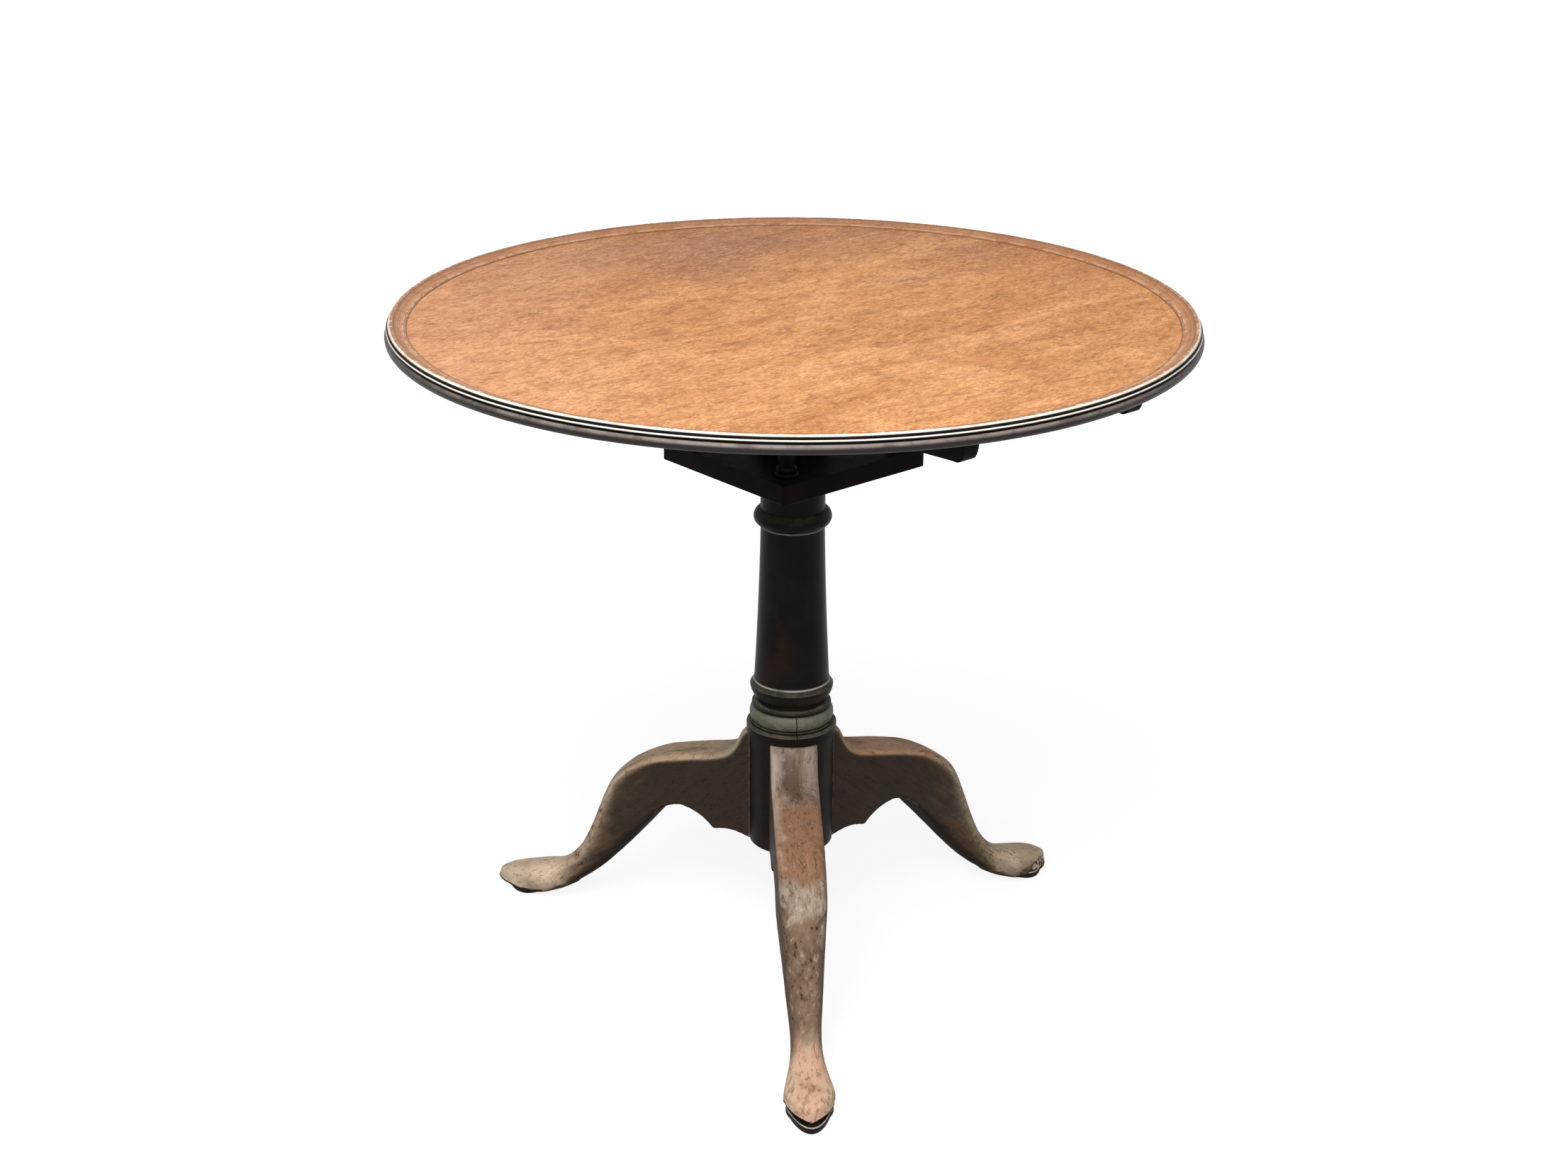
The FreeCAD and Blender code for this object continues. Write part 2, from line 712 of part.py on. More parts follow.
def make_column():
    column = turned("column", ("0", "drum_lift"), [
        line("drum_radius - drum_ease", "drum_lift"),
        rounding("drum_radius", "drum_lift + drum_ease", "drum_ease", LEFT),
        line("drum_radius", "drum_top"),
        line("collar_radius - collar_ease", "drum_top"),
        rounding("collar_radius", "drum_top + collar_ease", "collar_ease", LEFT),
        line("collar_radius", "collar_top - collar_ease"),
        rounding("collar_radius - collar_ease", "collar_top", "collar_ease", LEFT),
        line("groove_radius", "collar_top"),
        line("groove_radius", "groove_top"),
        line("base_torus_root", "groove_top"),
        bow("base_torus_root", "base_torus_top", "base_torus_swell", LEFT),
        line("base_bead_root", "base_torus_top"),
        bow("base_bead_root", "base_bead_top", "base_bead_swell", LEFT),
        line("cup_neck_radius", "base_bead_top"),
        line("cup_neck_radius", "cup_bottom"),
        bow("cup_radius", "cup_top", "cup_swell", LEFT),
        line("cup_radius", "flare_bottom"),
        bow("shaft_low_radius", "shaft_foot", "flare_hollow", RIGHT),
        bow("shaft_high_radius", "shaft_head", "shaft_hollow", RIGHT),
        bow("neck_radius", "fillet_top", "fillet_swell", LEFT),
        line("ring_root", "fillet_top"),
        bow("neck_radius", "ring_top", "ring_swell", LEFT),
        line("neck_radius", "shoulder"),
        line("pintle_radius", "shoulder"),
        line("pintle_radius", "pintle_step - pintle_ease"),
        line("pintle_radius - pintle_ease", "pintle_step"),
        line("pintle_tip_radius", "pintle_step"),
        line("pintle_tip_radius", "pintle_top - pintle_ease"),
        line("pintle_tip_radius - pintle_ease", "pintle_top"),
        line("0", "pintle_top"),
    ])
    wide = "pintle_radius + overrun"
    drop = "wedge_seat - mortise_drop"
    mortise = draw(new_sketch(column, "wedge_mortise", "XZ_Plane"), (f"-({wide})", drop), [
        line(wide, drop),
        line(wide, f"{wedge_top(wide)} + slide_gap"),
        line(f"-({wide})", f"{wedge_top(f'-({wide})')} + slide_gap"),
    ])
    pocket(column, mortise, "wedge_thick + 2 * slide_gap", symmetric=True)
    far = "drum_radius + overrun"
    flat = rectangle(new_sketch(column, "leg_flat", "XY_Plane", "drum_lift - overrun"),
                     "drum_flat", "-leg_thick / 2", far, "leg_thick / 2")
    facet = pocket(column, flat, "drum_height + overrun", reverse=True)
    around(column, [facet], 3)
    slot = dovetail(new_sketch(column, "leg_slot", "XY_Plane", "drum_lift - overrun"), "drum_flat + overrun",
                    "joint_gap")
    socket = pocket(column, slot, "drum_height + overrun - dovetail_stop + joint_gap", reverse=True)
    around(column, [socket], 3)
    place(column, turn="leg_turn_angle")


def wedge_top(x):
    """Level of the wedge's sloping top edge at a place along it."""
    return f"(wedge_seat + wedge_low + wedge_slope * (({x}) + wedge_length / 2 - wedge_offset))"


def dovetail(sketch, mouth, play):
    """Dovetail from its mouth inwards: it widens towards its tail."""
    neck = f"dovetail_neck / 2 + {play}"
    tail = f"dovetail_tail / 2 + {play}"
    deep = f"drum_flat - dovetail_depth - {play}"
    return draw(sketch, (mouth, f"-({neck})"), [
        line(mouth, neck),
        line("drum_flat", neck),
        line(deep, tail),
        line(deep, f"-({tail})"),
        line("drum_flat", f"-({neck})"),
    ])


def make_lock():
    """Collar over the lower plate, and the wedge through the pintle that holds it down."""
    bore = "pintle_radius + joint_gap"
    neck = "lock_collar_radius - lock_collar_swell"
    collar = turned("cage_collar", (bore, "0"), [
        line(neck, "0"),
        bow(neck, "lock_collar_height", "lock_collar_swell", LEFT),
        line(bore, "lock_collar_height"),
    ])
    place(collar, z="collar_seat", turn="leg_turn_angle")
    wedge = new_body("cage_wedge")
    thin = "wedge_offset - wedge_length / 2"
    thick = "wedge_offset + wedge_length / 2"
    profile = draw(new_sketch(wedge, "wedge_profile", "XZ_Plane"), (thin, "wedge_seat + flat_gap"), [
        line(thick, "wedge_seat + flat_gap"),
        line(thick, wedge_top(thick)),
        line(thin, wedge_top(thin)),
    ])
    pad(wedge, profile, "wedge_thick", symmetric=True)
    place(wedge, turn="leg_turn_angle")


# Legs

# Shares of the leg's span and rise: the crest from the collar to the knee
CREST_SHARES = ((0.026, 0.935), (0.052, 0.896), (0.097, 0.867), (0.161, 0.847), (0.242, 0.823),
                (0.323, 0.795), (0.387, 0.767), (0.445, 0.729), (0.500, 0.677))
# Shares of the leg's span and of its drum: the bracket's cusp and the arch beyond it
BRACKET_SHARES = ((0.035, 0.036), (0.075, 0.030), (0.108, 0.004))
ARCH_SHARES = ((0.129, 0.056), (0.165, 0.115), (0.203, 0.150), (0.232, 0.161), (0.261, 0.150), (0.290, 0.120))
# Shares of span and rise at the crest and the underside, of the leg's and the toe's widths, and of
# how round each face is
SECTION_SHARES = (
    (0.500, 0.677, 0.355, 0.512, 1.000, 0.000, 0.296, 0.015),
    (0.518, 0.650, 0.378, 0.474, 0.980, 0.000, 0.330, 0.060),
    (0.538, 0.611, 0.406, 0.430, 0.944, 0.000, 0.400, 0.200),
    (0.563, 0.553, 0.452, 0.365, 0.888, 0.000, 0.480, 0.360),
    (0.598, 0.459, 0.503, 0.294, 0.816, 0.000, 0.560, 0.480),
    (0.630, 0.376, 0.561, 0.218, 0.744, 0.000, 0.640, 0.580),
    (0.663, 0.301, 0.613, 0.160, 0.680, 0.000, 0.720, 0.640),
    (0.704, 0.237, 0.668, 0.108, 0.652, 0.000, 0.760, 0.620),
    (0.750, 0.189, 0.726, 0.062, 0.000, 0.700, 0.760, 0.480),
    (0.803, 0.156, 0.787, 0.028, 0.000, 0.850, 0.740, 0.240),
    (0.855, 0.136, 0.848, 0.017, 0.000, 0.980, 0.740, 0.060),
    (0.903, 0.119, 0.903, 0.017, 0.000, 1.040, 0.720, 0.020),
    (0.952, 0.097, 0.955, 0.019, 0.000, 1.080, 0.560, 0.020),
    (1.010, 0.050, 1.010, 0.018, 0.000, 1.080, 0.100, 0.020),
)
# Share of the leg's rise above which an edge belongs to its crest
CREST_LEVEL_SHARE = 0.6


def along(share):
    return f"(collar_radius + {share} * leg_span)"


def up(share):
    return f"({share} * leg_rise)"


def knee_direction(sign):
    """Direction of the crest where the flat-sided part of the leg ends, square to that end."""
    crest_s, crest_z, under_s, under_z = SECTION_SHARES[0][:4]
    fall = f"({crest_s} - {under_s}) * leg_span"
    run = f"({crest_z} - {under_z}) * leg_rise"
    return f"{sign} * ({run})", f"{-sign} * ({fall})"


def leg_section(body, index, shares):
    """Section across the leg: a flat crest with round shoulders, flat sides and a rounded back."""
    crest_s, crest_z, under_s, under_z, leg_share, toe_share, shoulder, back = shares
    run = f"({along(crest_s)} - {along(under_s)})"
    rise = f"({up(crest_z)} - {up(under_z)})"
    deep = f"sqrt({run} ^ 2 + {rise} ^ 2)"
    half = f"({leg_share} * leg_thick / 2 + {toe_share} * toe_width / 2)"
    corner = f"({shoulder} * {half})"
    sag = f"({back} * {half})"
    sketch = new_sketch(body, f"{body.Name}_section_{index}", "XY_Plane")
    tilt = FreeCAD.Rotation(FreeCAD.Vector(0, -1, 0), number(f"atan2({rise}; {run})"))
    sketch.AttachmentOffset = FreeCAD.Placement(FreeCAD.Vector(), tilt)
    sketch.setExpression("AttachmentOffset.Base.x", bind(along(under_s)))
    sketch.setExpression("AttachmentOffset.Base.z", bind(up(under_z)))
    sketch.setExpression("AttachmentOffset.Rotation.Angle", bind(f"atan2({rise}; {run})"))
    return draw(sketch, (sag, f"-{half}"), [
        bow(sag, half, sag, RIGHT),
        line(f"{deep} - {corner}", half),
        rounding(deep, f"{half} - {corner}", corner, RIGHT),
        line(deep, f"-({half} - {corner})"),
        rounding(f"{deep} - {corner}", f"-{half}", corner, RIGHT),
    ])


def make_leg(label, turn):
    """Cabriole leg: flat-sided bracket and knee, lofted ankle and pad foot, dovetail at its head."""
    leg = new_body(label)
    crest = [(along(s), up(z)) for s, z in CREST_SHARES]
    bracket = [(along(s), f"drum_lift + {z} * drum_height") for s, z in BRACKET_SHARES]
    arch = [(along(s), f"drum_lift + {z} * drum_height") for s, z in ARCH_SHARES]
    knee_under = (along(SECTION_SHARES[0][2]), up(SECTION_SHARES[0][3]))
    tip = "collar_radius - collar_ease"
    side = draw(new_sketch(leg, f"{label}_side", "XZ_Plane"), ("leg_face", "drum_lift"), [
        line("leg_face", "leg_rise"),
        line(tip, "leg_rise"),
        sweep(crest, first=("leg_thick", "-leg_thick"), last=knee_direction(1)),
        line(*knee_under),
        sweep(list(reversed(arch)) + [bracket[-1]]),
        sweep(list(reversed(bracket[:-1])) + [("leg_face", "drum_lift")]),
    ])
    board = pad(leg, side, "leg_thick", symmetric=True)
    half = number("leg_thick / 2")
    tolerance = half * EDGE_TOLERANCE_SHARE
    low = number(up(CREST_LEVEL_SHARE))

    def on_crest(edge):
        box = edge.BoundBox
        flat = box.YLength < tolerance and abs(abs(box.YMax) - half) < tolerance
        return flat and box.ZMin > low and box.XLength > half and box.ZLength > half

    ease(leg, board, "leg_round", on_crest)
    sections = [leg_section(leg, index, shares) for index, shares in enumerate(SECTION_SHARES)]
    loft = leg.newObject("PartDesign::AdditiveLoft", f"{label}_loft")
    loft.Profile = sections[0]
    loft.Sections = sections[1:]
    doc.recompute()
    trim_toe(leg, label)
    tongue = dovetail(new_sketch(leg, f"{label}_tongue", "XY_Plane", "drum_lift"),
                      "leg_face + dovetail_depth", "0")
    pad(leg, tongue, "drum_height - dovetail_stop")
    place(leg, turn=turn)


def toe_outline(sketch, reach):
    """Draw all that lies outside a pointed toe in plan."""
    heel = "toe_tip - toe_length"
    middle = "toe_width / 2 - toe_radius"
    start = f"{reach} - sqrt(toe_radius ^ 2 - ({middle}) ^ 2)"
    edge = f"({middle}) + sqrt(toe_radius ^ 2 - ({heel} - ({start})) ^ 2)"
    out = "toe_width + overrun"
    far = "leg_reach + toe_length"
    return draw(sketch, (heel, edge), [
        rounding(reach, "0", "toe_radius", RIGHT),
        rounding(heel, f"-({edge})", "toe_radius", RIGHT),
        line(heel, f"-({out})"),
        line(far, f"-({out})"),
        line(far, out),
        line(heel, out),
    ])


def trim_toe(leg, label):
    """Shape the foot in plan to a pointed toe with a quirk round it, and set a round cushion under it."""
    plan = toe_outline(new_sketch(leg, f"{label}_toe", "XY_Plane"), "toe_tip")
    pocket(leg, plan, "leg_rise", reverse=True)
    quirk = toe_outline(new_sketch(leg, f"{label}_quirk", "XY_Plane", "cushion_height"),
                        "(toe_tip - toe_quirk)")
    pocket(leg, quirk, "quirk_rise", reverse=True)
    cushion = new_sketch(leg, f"{label}_cushion", "XZ_Plane")
    cushion.setExpression("AttachmentOffset.Base.x", bind("leg_reach - cushion_radius"))
    draw(cushion, ("0", "0"), [
        line("sole_radius", "0"),
        bow("cushion_radius", "cushion_height", "cushion_swell", LEFT),
        line("0", "cushion_height"),
    ])
    turn_solid(leg, cushion)


# Catch: shares of the knob's radius and height, from its neck down
KNOB_SHARES = ((0.55, 0.0), (0.86, 0.18), (1.0, 0.48), (0.86, 0.8), (0.5, 1.0))


def make_catch():
    case = new_body("catch_case")
    long = "catch_length"
    flange = rectangle(new_sketch(case, "flange_outline", "XY_Plane", "underside - flange_thick"),
                       "-flange_width / 2", "catch_front", "flange_width / 2", f"catch_front + {long}")
    pad(case, flange, "flange_thick - flat_gap")
    block = rectangle(new_sketch(case, "case_outline", "XY_Plane", "underside - flange_thick"),
                      "-catch_width / 2", "catch_front", "catch_width / 2", f"catch_front + {long}")
    pad(case, block, "catch_depth - flange_thick", reverse=True)
    tunnel = rectangle(new_sketch(case, "bolt_tunnel", "XZ_Plane", "-catch_front"),
                       "-bolt_width / 2 - slide_gap", "bolt_top - bolt_height - slide_gap",
                       "bolt_width / 2 + slide_gap", "bolt_top + slide_gap")
    pocket(case, tunnel, f"{long} - catch_wall")
    stem = "(stem_radius + slide_gap)"
    slot = rectangle(new_sketch(case, "stem_slot", "XY_Plane", "catch_floor"),
                     f"-({stem})", f"knob_place - {stem}", stem, f"knob_place + bolt_throw + {stem}")
    pocket(case, slot, "catch_wall + slide_gap", reverse=True)
    screw_hole(case, "catch_case", "XY_Plane", catch_screw_places(), SMALL_SCREW, "underside - flange_thick",
               "flange_thick", True)

    bolt = new_body("catch_bolt")
    profile = draw(new_sketch(bolt, "bolt_profile", "YZ_Plane"), ("bolt_nose", "bolt_top"), [
        line("bolt_nose", "bolt_top - bolt_height + bolt_bevel"),
        line("bolt_nose + bolt_bevel", "bolt_top - bolt_height"),
        line("bolt_tail", "bolt_top - bolt_height"),
        line("bolt_tail", "bolt_top"),
    ])
    pad(bolt, profile, "bolt_width", symmetric=True)
    seat = rings(new_sketch(bolt, "stem_seat_circle", "XY_Plane", "bolt_top - bolt_height"),
                 [("0", "knob_place")], "stem_radius + joint_gap")
    pocket(bolt, seat, "stem_seat + joint_gap", reverse=True)

    low = "-catch_wall - 2 * slide_gap"
    grip = [(f"{across} * knob_radius", f"{low} - {down} * knob_height") for across, down in KNOB_SHARES]
    knob = turned("catch_knob", ("0", "stem_seat"), [
        line("stem_radius", "stem_seat"),
        line("stem_radius", low),
        line(grip[0][0], low),
        sweep(grip[1:]),
        line("0", f"{low} - knob_height"),
    ])
    place(knob, y="knob_place", z="bolt_top - bolt_height")

    spring = new_body("catch_spring")
    wide = "bolt_width / 2"
    start = "bolt_tail + slide_gap"
    end = "tunnel_end - slide_gap"
    thick = "spring_thick"
    leaf = draw(new_sketch(spring, "spring_profile", "XY_Plane", "bolt_top - bolt_height"), ("0", start), [
        line(wide, f"{end} - {thick}"),
        line(wide, end),
        line(f"{wide} - {thick}", end),
        line("0", f"{start} + 2 * {thick}"),
        line(f"-({wide} - {thick})", end),
        line(f"-({wide})", end),
        line(f"-({wide})", f"{end} - {thick}"),
    ])
    pad(spring, leaf, "bolt_height")

    keeper = new_body("catch_keeper")
    plate = rectangle(new_sketch(keeper, "keeper_outline", "XZ_Plane", "-plate_side / 2"),
                      "-keeper_width / 2", "keeper_middle - keeper_height / 2", "keeper_width / 2",
                      "keeper_middle + keeper_height / 2")
    pad(keeper, plate, "keeper_thick - flat_gap", reverse=False)
    window = rectangle(new_sketch(keeper, "keeper_window", "XZ_Plane", "-plate_side / 2"), *bolt_window())
    pocket(keeper, window, "keeper_thick + overrun", symmetric=True)
    screw_hole(keeper, "keeper", "XZ_Plane", keeper_screw_places(), SMALL_SCREW, "-plate_side / 2",
               "keeper_thick", True)


make_tray_top()
make_bearer("bearer_right", 1)
make_bearer("bearer_left", -1)
make_lower_plate()
make_upper_plate()
for depth_name, y in (("front", -1), ("rear", 1)):
    for side_name, x in (("left", -1), ("right", 1)):
        make_baluster(f"baluster_{depth_name}_{side_name}", x, y)
make_pin("pivot_pin_right", 1)
make_pin("pivot_pin_left", -1)
make_column()
make_lock()
for name, turn in (("front", "0"), ("right", "120"), ("left", "240")):
    make_leg(f"leg_{name}", f"leg_turn_angle + {turn}")
make_catch()

UP, DOWN, BACK = FreeCAD.Vector(0, 0, 1), FreeCAD.Vector(0, 0, -1), FreeCAD.Vector(0, 1, 0)
screw_group("bearer_screws", [(x, y, "underside - bearer_depth")
                              for x, y in bearer_screw_places(1) + bearer_screw_places(-1)],
            DOWN, "bearer_depth + screw_bite", BEARER_SCREW)
screw_group("catch_screws", [(x, y, "underside - flange_thick") for x, y in catch_screw_places()],
            DOWN, "small_screw_length", SMALL_SCREW)
screw_group("keeper_screws", [(x, "plate_side / 2", z) for x, z in keeper_screw_places()],
            BACK, "small_screw_length", SMALL_SCREW)
doc.recompute()

# Every object has to be sound before anything is written
for item in doc.Objects:
    if {"Invalid", "Error"} & set(item.State):
        raise RuntimeError(f"{item.Label} failed: {item.State}")
for node in nodes:
    if node.Shape.isNull() or not node.Shape.isValid():
        raise RuntimeError(f"{node.Label} has no valid shape")

os.makedirs("parts", exist_ok=True)
for node in nodes:
    node.Shape.exportStep(f"parts/{node.Label}.step")
    print(f"{node.Label}: {len(node.Shape.Solids)} solids, {node.Shape.Volume / 1000:.1f} cm3")
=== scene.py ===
import logging
import math
from collections.abc import Iterable, Mapping, Sequence
from dataclasses import dataclass
from enum import Enum

import bmesh
import bpy
from mathutils import Matrix, Vector, noise


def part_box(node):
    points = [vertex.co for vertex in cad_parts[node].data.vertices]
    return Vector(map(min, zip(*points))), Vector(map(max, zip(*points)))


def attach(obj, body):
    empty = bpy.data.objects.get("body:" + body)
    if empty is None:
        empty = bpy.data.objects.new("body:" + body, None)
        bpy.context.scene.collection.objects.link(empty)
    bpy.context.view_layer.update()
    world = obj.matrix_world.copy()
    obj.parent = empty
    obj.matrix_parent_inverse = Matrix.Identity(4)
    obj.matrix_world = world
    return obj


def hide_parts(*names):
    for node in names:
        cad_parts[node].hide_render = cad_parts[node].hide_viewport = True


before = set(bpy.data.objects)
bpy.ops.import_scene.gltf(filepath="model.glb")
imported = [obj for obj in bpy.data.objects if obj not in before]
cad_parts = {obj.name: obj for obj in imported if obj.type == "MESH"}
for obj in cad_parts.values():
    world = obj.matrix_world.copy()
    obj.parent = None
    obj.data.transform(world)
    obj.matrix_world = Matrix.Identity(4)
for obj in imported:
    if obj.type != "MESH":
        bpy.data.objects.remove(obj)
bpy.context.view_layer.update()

LOG = logging.getLogger("tea_table")
MM = 0.001

Colour = tuple[float, float, float]
Section = list[tuple[float, float]]
Span = tuple[float, float]


class Body(Enum):
    """Moving bodies of the table."""

    STAND = "stand"
    BIRDCAGE = "birdcage"
    TOP = "top"
    CATCH = "catch"


class Slot(Enum):
    """Material slots of the record."""

    TOP = "mahogany_top"
    LEGS = "mahogany_legs"
    DARK = "mahogany_dark"
    BRASS = "brass"
    IRON = "iron"


class Shade:
    """Output socket of a shader node, with arithmetic that adds nodes to its tree."""

    def __init__(self, recipe: "Recipe", socket: bpy.types.NodeSocket) -> None:
        """Keep the recipe that owns the socket, and the socket."""
        self.recipe = recipe
        self.socket = socket

    def __add__(self, other: "Value") -> "Shade":
        """Add a value or a socket."""
        return self.recipe.math("ADD", self, other)

    def __radd__(self, other: "Value") -> "Shade":
        """Add to a value."""
        return self.recipe.math("ADD", other, self)

    def __sub__(self, other: "Value") -> "Shade":
        """Take a value or a socket away."""
        return self.recipe.math("SUBTRACT", self, other)

    def __rsub__(self, other: "Value") -> "Shade":
        """Take this socket away from a value."""
        return self.recipe.math("SUBTRACT", other, self)

    def __mul__(self, other: "Value") -> "Shade":
        """Multiply by a value or a socket."""
        return self.recipe.math("MULTIPLY", self, other)

    def __rmul__(self, other: "Value") -> "Shade":
        """Multiply a value by this socket."""
        return self.recipe.math("MULTIPLY", other, self)

    def __abs__(self) -> "Shade":
        """Drop the sign."""
        return self.recipe.math("ABSOLUTE", self, 0.0)

    def rise(self, low: float, high: float) -> "Shade":
        """Smooth step from 0 at low to 1 at high."""
        return self.recipe.node("ShaderNodeMapRange", {"interpolation_type": "SMOOTHSTEP"},
                                {"Value": self, "From Min": low, "From Max": high})

    def fall(self, low: float, high: float) -> "Shade":
        """Smooth step from 1 at low to 0 at high."""
        return 1.0 - self.rise(low, high)

    def band(self, low: float, high: float, soft: float) -> "Shade":
        """One between two values, with soft ends."""
        return self.rise(low - soft, low + soft) * self.fall(high - soft, high + soft)

    def clamp(self) -> "Shade":
        """Keep between 0 and 1."""
        return self.recipe.node("ShaderNodeClamp", None, {"Value": self})


Value = Shade | float | tuple[float, ...]


class Recipe:
    """Node tree of one material, built by calls that each return an output socket."""

    def __init__(self, name: str, owner: bpy.types.World | None = None) -> None:
        """Start an empty tree.

        Args:
            name: Name of a new material.
            owner: World to use in place of a new material.
        """
        self.material = owner or bpy.data.materials.new(name)
        self.material.use_nodes = True
        self.tree = self.material.node_tree
        self.tree.nodes.clear()

    def node(self, kind: str, settings: Mapping[str, object] | None = None,
             inputs: Mapping[str | int, Value] | None = None, output: str | int = 0) -> Shade:
        """Add a node.

        Args:
            kind: Type of the node.
            settings: Its options, set before any socket.
            inputs: Values or sockets for its inputs.
            output: Name or place of the output to return.

        Returns:
            The output socket.
        """
        made = self.tree.nodes.new(kind)
        for key, value in (settings or {}).items():
            setattr(made, key, value)
        for key, value in (inputs or {}).items():
            self.feed(made.inputs[key], value)
        return Shade(self, made.outputs[output])

    def feed(self, socket: bpy.types.NodeSocket, value: Value) -> None:
        """Link a socket to an input, or set its value.

        Args:
            socket: Input to feed.
            value: Socket, number, vector or colour.
        """
        if isinstance(value, Shade):
            self.tree.links.new(value.socket, socket)
        elif socket.type == "RGBA":
            socket.default_value = (*value, 1.0)
        else:
            socket.default_value = value

    def math(self, operation: str, first: Value, second: Value) -> Shade:
        """Combine two numbers."""
        return self.node("ShaderNodeMath", {"operation": operation}, {0: first, 1: second})

    def vector(self, operation: str, first: Value, second: Value, output: str = "Vector") -> Shade:
        """Combine two vectors."""
        return self.node("ShaderNodeVectorMath", {"operation": operation}, {0: first, 1: second}, output)

    def mix(self, share: Value, first: Value, second: Value, blend: str = "MIX") -> Shade:
        """Mix two colours by a share."""
        return self.node("ShaderNodeMix", {"data_type": "RGBA", "blend_type": blend},
                         {0: share, 6: first, 7: second}, 2)

    def over(self, colour: Value, *layers: tuple[Value, Value]) -> Value:
        """Lay colours over a colour, one after the other.

        Args:
            colour: Colour at the bottom.
            layers: Share and colour of each layer.

        Returns:
            The colour.
        """
        for share, tone in layers:
            colour = self.mix(share, colour, tone)
        return colour

    def place(self) -> Shade:
        """Object coordinates."""
        return self.node("ShaderNodeTexCoord", None, None, "Object")

    def facing(self) -> Shade:
        """Upward share of the surface's direction, from -1 to 1."""
        return self.part(self.node("ShaderNodeTexCoord", None, None, "Normal"), "Z")

    def part(self, vector: Shade, axis: str) -> Shade:
        """One part of a vector."""
        return self.node("ShaderNodeSeparateXYZ", None, {"Vector": vector}, axis)

    def reach(self, vector: Shade) -> Shade:
        """Distance from the table's upright axis."""
        flat = self.vector("MULTIPLY", vector, (1.0, 1.0, 0.0))
        return self.vector("LENGTH", flat, (0.0, 0.0, 0.0), "Value")

    def turn(self, vector: Shade, degrees: float, stretch: Colour) -> Shade:
        """Turn coordinates about the upright axis and stretch them."""
        angles = (0.0, 0.0, math.radians(degrees))
        return self.node("ShaderNodeMapping", None, {"Vector": vector, "Rotation": angles, "Scale": stretch})

    def cloud(self, where: Shade, scale: float, detail: float = 3.0, rough: float = 0.5,
              warp: float = 0.0) -> Shade:
        """Cloudy pattern between 0 and 1."""
        return self.node("ShaderNodeTexNoise", {"noise_dimensions": "3D"},
                         {"Vector": where, "Scale": scale, "Detail": detail, "Roughness": rough,
                          "Distortion": warp})

    def mark(self, name: str) -> Shade:
        """Value of a mesh attribute."""
        return self.node("ShaderNodeAttribute", {"attribute_name": name}, None, "Fac")

    def bump(self, height: Shade, distance: float, strength: float = 1.0) -> Shade:
        """Surface direction from a height pattern."""
        return self.node("ShaderNodeBump", None,
                         {"Height": height, "Distance": distance, "Strength": strength})

    def dress(self, sockets: Mapping[str | int, Value]) -> bpy.types.Material:
        """Close the material.

        Args:
            sockets: Values or sockets for the surface shader.

        Returns:
            The material.
        """
        self.end("ShaderNodeOutputMaterial", self.node("ShaderNodeBsdfPrincipled", None, sockets))
        return self.material

    def end(self, kind: str, surface: Shade) -> None:
        """Link a surface to the tree's output node."""
        self.tree.links.new(surface.socket, self.tree.nodes.new(kind).inputs["Surface"])


@dataclass(frozen=True)
class Rim:
    """Moulded edge of the board; sizes in millimetres."""

    radius: float = 400.0
    width: float = 22.0
    underside: float = 701.45
    field_thick: float = 12.0
    field_step: float = 0.8
    torus_height: float = 10.0
    torus_swell: float = 4.8
    quirk_height: float = 1.1
    quirk_set: float = 5.6
    bead_height: float = 3.0
    bead_set: float = 3.0
    bead_swell: float = 1.3
    lip_height: float = 2.8
    lip_set: float = 3.6
    lip_round: float = 2.2
    lip_crest: float = 3.2
    cove_swell: float = 1.2

    @property
    def field(self) -> float:
        """Level of the dished field."""
        return self.underside + self.field_thick

    @property
    def torus_top(self) -> float:
        """Level of the top of the big roll."""
        return self.underside + self.torus_height

    @property
    def bead_low(self) -> float:
        """Level of the foot of the bead."""
        return self.torus_top + self.quirk_height

    @property
    def bead_high(self) -> float:
        """Level of the top of the bead."""
        return self.bead_low + self.bead_height

    @property
    def lip_low(self) -> float:
        """Level of the foot of the lip."""
        return self.bead_high + self.quirk_height

    @property
    def lip_top(self) -> float:
        """Level of the top of the lip."""
        return self.lip_low + self.lip_height


